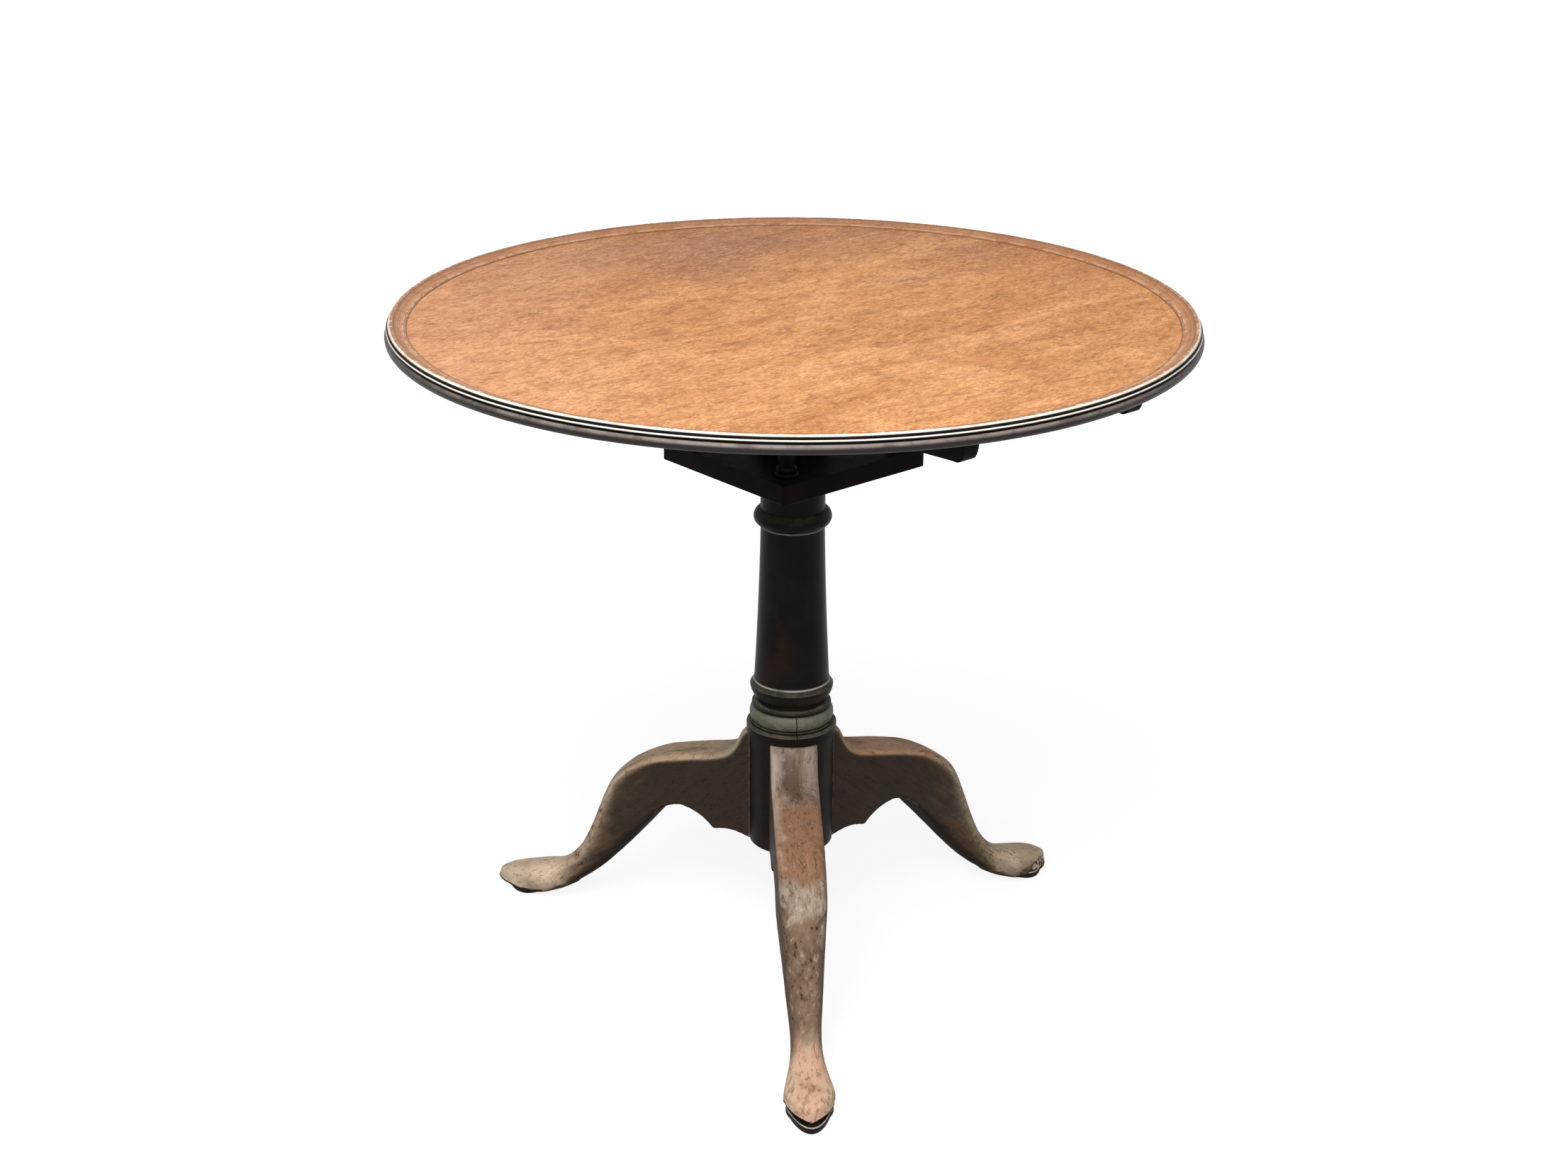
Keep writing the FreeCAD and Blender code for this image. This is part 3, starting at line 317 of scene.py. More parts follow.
@dataclass(frozen=True)
class TrayMahogany:
    """Waxed and rubbed board: crinkled figure in the field, a lip with a painted highlight line, and a dark
    moulded edge with painted highlights, painted shade in its quirks and a painted sheen on its roll.
    """

    rim: Rim
    name: str = "tray_mahogany"
    warm: Colour = (0.58, 0.245, 0.078)
    pale: Colour = (0.76, 0.365, 0.145)
    dusky: Colour = (0.36, 0.165, 0.085)
    rosy: Colour = (0.66, 0.34, 0.185)
    umber: Colour = (0.55, 0.46, 0.38)
    scratch: Colour = (0.84, 0.60, 0.42)
    cove: Colour = (0.47, 0.215, 0.105)
    rub: Colour = (0.66, 0.40, 0.25)
    crest: Colour = (0.13, 0.065, 0.040)
    # line is the colour of the painted highlights on the lip and the bead.
    line: Colour = (0.86, 0.78, 0.66)
    # edge is the near-black of the roll, and painted shade on the lip's lower face and on the bead's lower
    # part.
    edge: Colour = (0.014, 0.010, 0.008)
    # sheen is a painted sheen on the roll.
    sheen: Colour = (0.22, 0.18, 0.158)
    # seam is painted shade in the two quirks.
    seam: Colour = (0.004, 0.003, 0.0025)
    under: Colour = (0.21, 0.115, 0.062)
    stain: Colour = (0.085, 0.047, 0.028)
    crest_ring: Span = (0.3896, 0.3910)
    scuff_from: Span = (0.3912, 0.3920)
    outer_from: Span = (0.3930, 0.3940)
    # The next span is where the painted highlight on the lip begins.
    highlight_from: Span = (0.3940, 0.3947)

    def make(self) -> bpy.types.Material:
        """Build the material.

        Returns:
            The material.
        """
        r = Recipe(self.name)
        where = r.place()
        reach = r.reach(where)
        level = r.part(where, "Z")
        crinkle = r.cloud(r.turn(where, 8.0, (0.50, 1.0, 1.0)), 200.0, 4.0, 0.62, 1.6)
        pores = r.cloud(r.turn(where, -3.0, (0.14, 1.0, 1.0)), 700.0, 2.0)
        colour, scratches = self.field(r, where, crinkle, pores)
        rim, dark = self.moulding(r, where, reach, level, colour)
        bottom = r.facing().fall(-0.85, -0.6) * reach.fall(0.3935, 0.3945)
        grain = r.cloud(r.turn(where, 6.0, (0.05, 1.0, 1.0)), 70.0, 6.0, 0.68, 0.5)
        figure = (grain.rise(0.36, 0.68) * 0.8 + pores.rise(0.55, 0.72) * 0.4).clamp()
        colour = r.mix(bottom, rim, r.mix(figure, self.under, self.stain))
        gloss = 0.46 + 0.22 * crinkle + 0.10 * bottom - 0.14 * dark
        height = crinkle * 0.7 + pores * 0.3 - scratches * 0.8
        return r.dress({"Base Color": colour, "Roughness": gloss, "Normal": r.bump(height, 0.0003, 0.9),
                        "Specular IOR Level": 0.22})

    def field(self, r: Recipe, where: Shade, crinkle: Shade, pores: Shade) -> tuple[Shade, Shade]:
        """Colour of the dished field.

        Args:
            r: Recipe of the material.
            where: Object coordinates.
            crinkle: Fine crinkled figure.
            pores: Fine pores along the grain.

        Returns:
            The colour, and where it is scratched.
        """
        broad = r.cloud(r.turn(where, 32.0, (0.40, 1.0, 1.0)), 13.0, 5.0, 0.62, 0.8)
        curl = r.cloud(r.turn(where, 26.0, (0.42, 1.0, 1.0)), 58.0, 4.0, 0.62, 1.2)
        smudge = r.cloud(r.turn(where, 62.0, (0.30, 1.0, 1.0)), 9.0, 4.0, 0.6, 0.6) - 0.5
        back = r.part(where, "Y") * 1.35 + r.part(where, "X") * 0.75 + smudge * 1.3
        left = r.part(where, "Y") * 0.9 - r.part(where, "X") * 1.5
        colour = r.over(self.warm, (broad.rise(0.36, 0.64), self.pale),
                        (back.rise(0.02, 0.68) * 0.74, self.dusky), (left.rise(0.10, 0.62) * 0.6, self.rosy))
        colour = r.mix(crinkle.rise(0.42, 0.68) * 0.80, colour, self.umber, "MULTIPLY")
        colour = r.mix(curl.rise(0.46, 0.72) * 0.68, colour, self.umber, "MULTIPLY")
        colour = r.mix(crinkle.fall(0.28, 0.44) * 0.40, colour, self.scratch)
        colour = r.mix(pores.rise(0.56, 0.72) * 0.45, colour, self.umber, "MULTIPLY")
        lines = r.cloud(r.turn(where, 52.0, (0.03, 1.0, 1.0)), 300.0, 1.0)
        lines = lines.rise(0.745, 0.77) * r.cloud(where, 8.0, 1.0).rise(0.50, 0.60)
        return r.mix(lines * 0.6, colour, self.scratch), lines

    def moulding(self, r: Recipe, where: Shade, reach: Shade, level: Shade,
                 colour: Shade) -> tuple[Shade, Shade]:
        """Colour of the lip, its bead and the big roll round the edge, with painted highlights, painted shade
        and a painted sheen.

        Args:
            r: Recipe of the material.
            where: Object coordinates.
            reach: Distance from the axis.
            level: Height.
            colour: Colour of the field.

        Returns:
            The colour, and where it is the dark roll.
        """
        rim = self.rim
        inner = (rim.radius - rim.width) * MM
        lip_low, lip_top = rim.lip_low * MM, rim.lip_top * MM
        torus_top, bead_low = rim.torus_top * MM, rim.bead_low * MM
        soil = r.cloud(where, 42.0, 5.0, 0.65)
        rings = abs(r.cloud(r.vector("MULTIPLY", where, (0.0, 0.0, 1.0)), 900.0, 2.0) - 0.5).fall(0.02, 0.10)
        rubbed = reach.band(inner + 0.0030, inner + 0.0044, 0.0006) * soil.rise(0.40, 0.54)
        cove = r.over(self.cove, (soil.rise(0.42, 0.64) * 0.5, self.rub), (0.55, colour),
                      (rings * 0.45, self.crest), (rubbed, self.rub))
        nicks = r.cloud(where, 60.0, 4.0, 0.7).rise(0.52, 0.60)
        # ahead grows towards the front, where the light falls; near, made from it, keeps the painted
        # highlights to the front.
        ahead = r.part(where, "X") * -1.65 - r.part(where, "Y") * 1.88
        near = (ahead + (soil - 0.5) * 0.6).rise(-0.28, 0.08)
        upper = level.rise(lip_low, lip_low + 0.0004)
        scuffs = r.cloud(where, 230.0, 3.0, 0.65).rise(0.52, 0.60) * soil.rise(0.40, 0.55)
        # Painted highlight along the lip's rounded outer edge, strongest at the front.
        wear_and_highlight = reach.rise(*self.highlight_from) * (0.6 + 0.4 * soil.rise(0.35, 0.55)) * near
        outer = reach.rise(*self.outer_from)
        # The bead is painted: a highlight on its upper part, brighter at the front, over painted shade in
        # near-black below it.
        bead = outer * level.band(bead_low, lip_low, 0.0002)
        shine = level.rise(bead_low + 0.0012, bead_low + 0.0019) * (0.5 + 0.5 * near)
        dark = outer * level.fall(torus_top, torus_top + 0.0004)
        # Painted sheen on the upper part of the roll, stronger towards the front and patchy.
        sheen_strength = (0.15 + ahead.rise(0.3, 0.95)) * (0.40 + 0.60 * soil.rise(0.36, 0.58))
        up = (r.facing().rise(0.10, 0.80) * sheen_strength).clamp()
        # low and high cover the two quirks, which get painted shade.
        low = level.band(torus_top - 0.0005, bead_low + 0.0005, 0.0002)
        high = level.band(rim.bead_high * MM - 0.0003, lip_low + 0.0005, 0.0002)
        colour = r.over(colour, (reach.rise(inner - 0.0004, inner + 0.0006), cove),
                        (reach.band(inner - 0.0002, inner + 0.0010, 0.0004) * 0.60, self.crest),
                        (reach.band(inner + 0.0014, inner + 0.0022, 0.0004) * nicks * 0.8, self.scratch),
                        (reach.band(*self.crest_ring, 0.0006) * upper * 0.55, self.crest),
                        (reach.rise(*self.scuff_from) * upper * scuffs * 0.75, self.scratch),
                        # Painted highlight line on the lip.
                        (wear_and_highlight * upper, self.line),
                        # Painted shade on the lower part of the lip's outer face.
                        (outer * level.fall(lip_top - 0.0019, lip_top - 0.0013), self.edge),
                        # Bead: painted highlight over painted shade. Roll: near-black with a painted sheen on
                        # its upper part.
                        (bead, r.mix(shine, self.edge, self.line)), (dark, r.mix(up, self.edge, self.sheen)),
                        # Painted shade in the quirks.
                        (outer * (low + high).clamp(), self.seam))
        return colour, dark


@dataclass(frozen=True)
class DarkMahogany:
    """Nearly black waxed wood, with dust and a painted sheen where it faces up, and rubbed edges that are
    partly painted glints.
    """

    grain: Colour
    name: str = "mahogany_column"
    deep: Colour = (0.0052, 0.0034, 0.0025)
    red: Colour = (0.020, 0.0105, 0.0062)
    # The dust colour is dust and a painted sheen on surfaces that face up; rub lightens rubbed edges, partly
    # as painted glints.
    dust_and_sheen: Colour = (0.21, 0.19, 0.145)
    rub: Colour = (0.20, 0.155, 0.115)
    # line is the colour of the painted highlight lines on the mouldings.
    line: Colour = (0.55, 0.50, 0.43)
    gap: Colour = (0.003, 0.002, 0.002)
    shine: float = 0.06
    column: bool = False

    def make(self) -> bpy.types.Material:
        """Build the material.

        Returns:
            The material.
        """
        r = Recipe(self.name)
        where = r.place()
        fibres = r.cloud(r.turn(where, 0.0, self.grain), 210.0, 4.0, 0.6, 0.8)
        patches = r.cloud(where, 22.0, 4.0, 0.6)
        up = r.facing().rise(0.15, 0.95)
        film = r.cloud(where, 95.0, 5.0, 0.7).rise(0.25, 0.70)
        # Rubbed edges, partly painted glints.
        wear_and_highlight = r.mark("edge").rise(0.30, 0.80) * r.cloud(where, 70.0, 4.0).rise(0.34, 0.60)
        colour = r.over(self.deep, (patches.rise(0.38, 0.72) * 0.8, self.red),
                        # Dust and a painted sheen where the surface faces up.
                        (fibres.rise(0.5, 0.75) * 0.5, self.deep), (up * (0.20 + 0.5 * film), self.dust_and_sheen),
                        (wear_and_highlight * 0.75, self.rub))
        height = fibres * 0.7 + film * 0.3
        if self.column:
            colour, split = self.mouldings(r, where, film, patches, colour)
            height = height - split * 3.0
        gloss = 0.34 + 0.14 * patches + 0.22 * up * film
        return r.dress({"Base Color": colour, "Roughness": gloss, "Normal": r.bump(height, 0.00016, 0.8),
                        "Specular IOR Level": self.shine})

    def mouldings(self, r: Recipe, where: Shade, film: Shade, patches: Shade,
                  colour: Shade) -> tuple[Shade, Shade]:
        """Colour of the column's mouldings: painted shade on the collar and up the shaft, dust and a painted
        reflection on the base roll, dark grooves, painted highlight lines and a split.

        Args:
            r: Recipe of the material.
            where: Object coordinates.
            film: Film of dust.
            patches: Broad stains.
            colour: Colour of the wood.

        Returns:
            The colour, and where the wood is split.
        """
        level = r.part(where, "Z")
        # Painted shade on the collar band, and darker up the shaft.
        shade = level.band(0.2655, 0.2745, 0.001) * 0.7 + level.rise(0.36, 0.52) * 0.55
        # Dust and a painted reflection on the base roll.
        torus_dust_and_reflection = level.band(0.2825, 0.2965, 0.0018) * (0.30 + 0.35 * film + 0.35 * level.rise(0.284, 0.295))
        grooves = level.band(0.2967, 0.2975, 0.0003) + level.band(0.2994, 0.3001, 0.0003)
        grooves = (grooves + level.band(0.3010, 0.3016, 0.0002)).clamp()
        # Painted highlight lines on the cup's bead, the ring's fillet and the top of the collar.
        lines = level.band(0.3256, 0.3272, 0.0006) * 0.75 + level.band(0.4946, 0.4962, 0.0004) * 0.35
        lines = lines + level.band(0.2758, 0.2768, 0.0004) * 0.22
        across = r.part(r.turn(where, 34.0, (1.0, 1.0, 1.0)), "X")
        wander = (r.cloud(where, 120.0, 2.0) - 0.5) * 0.0016
        front = r.part(where, "Y").fall(-0.01, 0.0)
        split = abs(across + wander).fall(0.0002, 0.0007) * front * level.band(0.264, 0.297, 0.002)
        colour = r.over(colour, (shade, self.deep), (torus_dust_and_reflection, self.dust_and_sheen), (grooves * 0.8, self.deep),
                        (lines * patches.rise(0.30, 0.50), self.line), (split, self.gap))
        return colour, split


@dataclass(frozen=True)
class LegMahogany:
    """Rubbed leg: dark flanks with painted shade where they face down, a rubbed top in four tones from head
    to foot with painted highlights and painted shade, pits, cracks and streaks.
    """

    name: str
    head: Colour
    knee: Colour
    shin: Colour
    foot: Colour
    smudge: float = 0.0
    pitted: float = 0.6
    cracked: float = 0.5
    flank: Colour = (0.034, 0.0225, 0.0140)
    brown: Colour = (0.105, 0.062, 0.036)
    # The soot colour darkens streaks, pits, cracks, chip rims and the cushion, and is painted shade on
    # surfaces that face down.
    soot_and_shade: Colour = (0.010, 0.007, 0.0055)
    umber: Colour = (0.11, 0.066, 0.044)
    pale: Colour = (0.62, 0.53, 0.43)
    # straw is a painted highlight on the sides of the foot.
    straw: Colour = (0.70, 0.58, 0.38)
    raw: Colour = (0.88, 0.77, 0.60)
    # shaded weighs the painted shade on the shin's sides.
    shaded: float = 1.0
    groove: float = 11.0
    # heel weighs the painted shade low at the back of the foot.
    heel: float = 0.0
    pad_low: float = 11.0
    arris: float = 0.0246

    def make(self) -> bpy.types.Material:
        """Build the material.

        Returns:
            The material.
        """
        r = Recipe(self.name)
        where = r.place()
        reach = r.reach(where)
        flow = r.node("ShaderNodeAttribute", {"attribute_name": "flow"}, None, "Vector")
        streaks = r.cloud(r.turn(flow, 0.0, (0.10, 1.0, 1.0)), 300.0, 4.0, 0.65)
        blotch = r.cloud(r.turn(flow, 0.0, (0.42, 1.0, 1.0)), 44.0, 5.0, 0.66, 0.6)
        pits = r.cloud(r.turn(flow, 0.0, (0.55, 1.0, 1.0)), 190.0, 2.5, 0.55, 0.2)
        along = reach + (blotch - 0.5) * 0.07 + (r.cloud(flow, 24.0, 2.0) - 0.5) * 0.05
        crest = self.crest(r, along, streaks, blotch, pits)
        flank = r.over(self.flank, (along.rise(0.14, 0.24) * blotch.rise(0.34, 0.62), self.brown),
                       (streaks.rise(0.42, 0.72) * 0.45, self.soot_and_shade),
                       # Painted shade on surfaces that face down.
                       (r.facing().fall(-0.60, -0.05) * 0.85, self.soot_and_shade))
        rub = r.mark("rub")
        # Pale edges: rubbed wood, partly a painted highlight.
        wear_and_highlight = r.mark("edge").rise(0.16, 0.50) * blotch.rise(0.34, 0.54)
        bare = r.mark("bare")
        # Painted shade low at the back of the foot.
        heel = r.part(where, "Z").fall(0.010, 0.034) * (reach + (blotch - 0.5) * 0.04).fall(0.318, 0.342)
        colour = r.over(flank, ((rub * 1.25 + (blotch - 0.5) * 0.9 * rub).clamp(), crest),
                        (wear_and_highlight * 0.7, self.pale), (bare.band(0.10, 0.42, 0.10), self.soot_and_shade),
                        (bare.rise(0.40, 0.70), r.mix(pits.rise(0.46, 0.54), self.raw, self.umber)),
                        (heel * self.heel, self.umber))
        colour = self.sole(r, blotch, colour)
        gloss = 0.52 + 0.20 * blotch + 0.28 * r.facing().fall(-0.50, 0.10)
        height = streaks * 0.45 + blotch * 0.35 - pits.rise(0.58, 0.70) * 1.2
        return r.dress({"Base Color": colour, "Roughness": gloss, "Normal": r.bump(height, 0.0009, 1.0),
                        "Specular IOR Level": 0.13})

    def crest(self, r: Recipe, along: Shade, streaks: Shade, blotch: Shade, pits: Shade) -> Shade:
        """Colour of the rubbed top of a leg, with painted highlights on the knee, on the sides of the foot
        and in a strip on the upper leg, and painted shade on the shin's sides.

        Args:
            r: Recipe of the material.
            along: Distance down the leg, unevenly drawn.
            streaks: Fine streaks along the grain.
            blotch: Broad stains.
            pits: Small pits.

        Returns:
            The colour.
        """
        side = r.mark("side")
        aside = abs(side)
        mottled = along.band(0.222, 0.272, 0.014)
        flecks = r.mix(pits.rise(0.38, 0.58), self.shin, self.umber)
        toe = along.rise(0.300, 0.315)
        heart = along.band(0.322, 0.334, 0.008) * aside.fall(0.2, 0.5)
        # Painted shade on the rounded sides of the shin.
        edges = aside.rise(0.28, 0.64) * along.band(0.212, 0.288, 0.012) * self.shaded
        bound = along.fall(0.270, 0.300) * 0.8 + 0.2
        patch = along.band(0.050, 0.086, 0.008) * (side + (blotch - 0.5) * 2.0).band(-0.50, 0.40, 0.2)
        # The strip is a painted highlight along the left of the upper leg.
        strip = along.fall(0.08, 0.19) * (side + (blotch - 0.5) * 0.9).fall(-0.86, -0.58)
        holes = (self.pitted * bound + 0.6 * mottled).clamp() * (0.25 + 0.75 * along.rise(0.16, 0.21))
        holes = holes * pits.rise(0.62, 0.67) * blotch.rise(0.40, 0.55) * along.fall(0.268, 0.292)
        bends = along.band(0.15, 0.21, 0.01) + along.band(0.27, 0.31, 0.01)
        flaws = abs(blotch - 0.5).fall(0.004, 0.016) * bends * streaks.rise(0.42, 0.52)
        return r.over(self.head, (along.rise(0.070, 0.108), self.knee), (along.rise(0.174, 0.208), self.shin),
                      # Painted glint on the lower part of the knee.
                      (along.band(0.194, 0.213, 0.010) * 0.45, self.pale),
                      (mottled * (0.22 + 0.50 * blotch.rise(0.38, 0.62)), flecks),
                      (along.rise(0.260, 0.294), self.foot),
                      # Painted highlight on the sides of the foot.
                      (aside.rise(0.35, 0.80) * along.rise(0.296, 0.312) * 0.6, self.straw),
                      (toe * pits.rise(0.46, 0.62) * 0.45, self.knee), (toe * heart * 0.6, self.knee),
                      (edges * (0.35 + 0.45 * blotch), self.umber),
                      (blotch.rise(0.50, 0.70) * 0.7 * bound, self.umber),
                      (streaks.rise(0.50, 0.72) * 0.50 * bound, self.umber),
                      (blotch.fall(0.30, 0.44) * 0.35, self.pale), (patch * self.smudge, self.umber),
                      (strip * self.smudge * 0.6, self.pale), (holes * 0.9, self.soot_and_shade),
                      (flaws * self.cracked, self.soot_and_shade), (pits.fall(0.30, 0.36) * 0.3, self.pale))

    def sole(self, r: Recipe, blotch: Shade, colour: Shade) -> Shade:
        """Colour of the groove under the pad and of the cushion under it, with a pale line round it that is
        partly rubbed wood and partly a painted highlight.

        Args:
            r: Recipe of the material.
            blotch: Broad stains.
            colour: Colour of the leg.

        Returns:
            The colour.
        """
        level = r.mark("layer")
        groove = self.groove * MM
        flat = level.band(0.0075, self.pad_low * MM - 0.0006, 0.0003)
        # Pale line round the cushion's top: partly rubbed wood, partly a painted highlight.
        arris = flat * r.mark("disc").band(self.arris - 0.0008, self.arris + 0.0008, 0.0004)
        arris = arris * r.facing().rise(0.3, 0.6) * blotch.rise(0.28, 0.46)
        return r.over(colour, (level.fall(groove + 0.0003, groove + 0.0012), self.soot_and_shade),
                      (arris * 0.9, self.pale))


@dataclass(frozen=True)
class OldMetal:
    """Dull metal with tarnish, fine scratches and bright edges."""

    name: str
    bright: Colour
    tarnish: Colour
    rough: float = 0.36

    def make(self) -> bpy.types.Material:
        """Build the material.

        Returns:
            The material.
        """
        r = Recipe(self.name)
        where = r.place()
        patches = r.cloud(where, 110.0, 5.0, 0.65)
        lines = r.cloud(r.turn(where, 12.0, (0.06, 1.0, 1.0)), 1500.0, 2.0)
        colour = r.over(self.bright, (patches.rise(0.36, 0.66), self.tarnish),
                        (r.mark("edge").rise(0.2, 0.7) * 0.6, self.bright))
        gloss = self.rough + 0.25 * patches.rise(0.4, 0.7) + 0.06 * lines
        return r.dress({"Base Color": colour, "Metallic": 1.0, "Roughness": gloss,
                        "Normal": r.bump(patches * 0.5 + lines * 0.5, 0.00006, 0.7)})


class Outline:
    """Half section of a turned piece: radius and height in millimetres, written from its foot up."""

    def __init__(self, radius: float, height: float) -> None:
        """Start at a point."""
        self.points: Section = [(radius, height)]

    def line(self, radius: float, height: float, steps: int = 1) -> "Outline":
        """Run straight to a point.

        Args:
            radius: Radius where the line ends.
            height: Height where it ends.
            steps: Number of runs.

        Returns:
            This outline.
        """
        r, z = self.points[-1]
        self.points += [(r + (radius - r) * k / steps, z + (height - z) * k / steps)
                        for k in range(1, steps + 1)]
        return self

    def bow(self, radius: float, height: float, swell: float, steps: int = 12) -> "Outline":
        """Run along an arc.

        Args:
            radius: Radius where the arc ends.
            height: Height where it ends.
            swell: Rise of the arc over its chord, outward where the section climbs; below zero it is hollow.
            steps: Number of runs.

        Returns:
            This outline.
        """
        start = Vector(self.points[-1])
        end = Vector((radius, height))
        chord = end - start
        side = Vector((chord.y, -chord.x)).normalized() * math.copysign(1.0, swell)
        rise = abs(swell)
        arc_radius = (chord.length_squared / 4 + rise ** 2) / (2 * rise)
        middle = (start + end) / 2 + side * (rise - arc_radius)
        whole = 4 * math.atan(2 * rise / chord.length) * math.copysign(1.0, swell)
        arm = start - middle
        for k in range(1, steps + 1):
            turn = whole * k / steps
            spun = Vector((arm.x * math.cos(turn) - arm.y * math.sin(turn),
                           arm.x * math.sin(turn) + arm.y * math.cos(turn)))
            self.points.append(tuple(middle + spun))
        return self

    def runs(self, table: Sequence[tuple[float, float, float, int]]) -> "Outline":
        """Run along lines and arcs.

        Args:
            table: Radius, height, swell and steps of each, with no swell for a line.

        Returns:
            This outline.
        """
        for radius, height, swell, steps in table:
            if swell:
                self.bow(radius, height, swell, steps)
            else:
                self.line(radius, height, steps)
        return self

    def sweep(self, points: Sequence[tuple[float, float]], steps: int = 6) -> "Outline":
        """Run smoothly through points.

        Args:
            points: Radius and height of each point.
            steps: Number of runs between two points.

        Returns:
            This outline.
        """
        path = [Vector(p) for p in (self.points[-1], *points)]
        path = [path[0] * 2 - path[1], *path, path[-1] * 2 - path[-2]]
        for a, b, c, d in zip(path, path[1:], path[2:], path[3:]):
            for k in range(1, steps + 1):
                t = k / steps
                spot = (b * 2 + (c - a) * t + (a * 2 - b * 5 + c * 4 - d) * t * t
                        + (b * 3 - a - c * 3 + d) * t ** 3) / 2
                self.points.append(tuple(spot))
        return self

    def lathe(self, name: str, turns: int) -> bpy.types.Mesh:
        """Turn the section into a mesh.

        Args:
            name: Name of the mesh.
            turns: Number of runs round the axis.

        Returns:
            The mesh, in metres.
        """
        verts: list[tuple[float, float, float]] = []
        rows: list[list[int]] = []
        for radius, height in self.points:
            if radius < 1e-6:
                rows.append([len(verts)] * turns)
                verts.append((0.0, 0.0, height * MM))
                continue
            rows.append(list(range(len(verts), len(verts) + turns)))
            for k in range(turns):
                angle = math.tau * k / turns
                verts.append((radius * MM * math.cos(angle), radius * MM * math.sin(angle), height * MM))
        faces = []
        for low, high in zip(rows, rows[1:]):
            for k in range(turns):
                n = (k + 1) % turns
                ring = dict.fromkeys((low[k], low[n], high[n], high[k]))
                if len(ring) > 2:
                    faces.append(tuple(ring))
        mesh = bpy.data.meshes.new(name)
        mesh.from_pydata(verts, [], faces)
        return mesh


def link(name: str, data: bpy.types.ID) -> bpy.types.Object:
    """Put a mesh, lamp or camera in the scene.

    Args:
        name: Name of the object.
        data: What it shows.

    Returns:
        The object.
    """
    made = bpy.data.objects.new(name, data)
    bpy.context.scene.collection.objects.link(made)
    return made


def bake(worker: bpy.types.Object, name: str) -> bpy.types.Mesh:
    """Turn an object and its modifiers into a plain mesh, and drop the object.

    Args:
        worker: Object with modifiers.
        name: Name of the mesh.

    Returns:
        The mesh.
    """
    graph = bpy.context.evaluated_depsgraph_get()
    mesh = bpy.data.meshes.new_from_object(worker.evaluated_get(graph))
    mesh.name = name
    bpy.data.objects.remove(worker)
    return mesh


def copy_node(node: str, name: str) -> bpy.types.Mesh:
    """Copy a CAD node's mesh with its seams merged.

    Args:
        node: Name of the node.
        name: Name of the copy.

    Returns:
        The mesh.
    """
    shape = bmesh.new()
    shape.from_mesh(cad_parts[node].data)
    bmesh.ops.remove_doubles(shape, verts=shape.verts, dist=2e-6)
    bmesh.ops.recalc_face_normals(shape, faces=shape.faces)
    mesh = bpy.data.meshes.new(name)
    shape.to_mesh(mesh)
    shape.free()
    return mesh


def ease_edges(mesh: bpy.types.Mesh, width: float, shortest: float) -> None:
    """Round off the long sharp edges of a squared piece.

    Args:
        mesh: Mesh to change.
        width: Width of the rounding.
        shortest: Edges shorter than this stay sharp.
    """
    shape = bmesh.new()
    shape.from_mesh(mesh)
    bmesh.ops.dissolve_limit(shape, angle_limit=math.radians(1.0), verts=shape.verts, edges=shape.edges)
    sharp = [edge for edge in shape.edges
             if len(edge.link_faces) == 2 and edge.calc_face_angle() > 0.6 and edge.calc_length() > shortest]
    bmesh.ops.bevel(shape, geom=sharp, offset=width, segments=3, profile=0.5, affect="EDGES")
    shape.to_mesh(mesh)
    shape.free()


def smooth_shading(mesh: bpy.types.Mesh, degrees: float = 32.0) -> None:
    """Shade smooth, and sharp at edges over an angle."""
    mesh.shade_smooth()
    mesh.set_sharp_from_angle(angle=math.radians(degrees))


def mark_edges(mesh: bpy.types.Mesh, gain: float, rounds: int = 1) -> None:
    """Store how far each point stands proud of its neighbours, as attribute edge.

    Args:
        mesh: Mesh to mark.
        gain: Factor on the measure.
        rounds: Times that the measure is spread to neighbours.
    """
    shape = bmesh.new()
    shape.from_mesh(mesh)
    shape.normal_update()
    shape.verts.ensure_lookup_table()
    near = [[edge.other_vert(vert).index for edge in vert.link_edges] for vert in shape.verts]
    proud = []
    for vert in shape.verts:
        total = 0.0
        for edge in vert.link_edges:
            arm = edge.other_vert(vert).co - vert.co
            total -= arm.dot(vert.normal) / max(arm.length, 1e-9)
        proud.append(max(0.0, min(1.0, gain * total / max(len(vert.link_edges), 1))))
    for _ in range(rounds):
        proud = [0.5 * own + 0.5 * sum(proud[k] for k in others) / max(len(others), 1)
                 for own, others in zip(proud, near)]
    shape.free()
    store(mesh, "edge", proud)


def dressed_copy(node: str, name: str, gain: float, ease: Span | None = None) -> bpy.types.Mesh:
    """Copy a CAD node's mesh, ease it, shade it and mark its edges.

    Args:
        node: Name of the node.
        name: Name of the copy.
        gain: Factor on the edge marks.
        ease: Width of the easing and the shortest edge that gets it, in millimetres.

    Returns:
        The mesh.
    """
    mesh = copy_node(node, name)
    if ease:
        ease_edges(mesh, ease[0] * MM, ease[1] * MM)
    smooth_shading(mesh)
    mark_edges(mesh, gain)
    return mesh


def store(mesh: bpy.types.Mesh, name: str, values: Sequence[float]) -> None:
    """Store one number for each point of a mesh."""
    mesh.attributes.new(name, "FLOAT", "POINT").data.foreach_set("value", values)


def settle(mesh: bpy.types.Mesh, body: Body, finish: bpy.types.Material,
           nodes: Iterable[str]) -> None:
    """Set a finished mesh on its body in place of CAD nodes.

    Args:
        mesh: Finished mesh, in place.
        body: Body that it moves with.
        finish: Material.
        nodes: CAD nodes that it stands for.
    """
    mesh.materials.clear()
    mesh.materials.append(finish)
    piece = link(mesh.name, mesh)
    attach(piece, body.value)
    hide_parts(*nodes)
    LOG.info("%s: %d faces on %s", mesh.name, len(mesh.polygons), body.value)


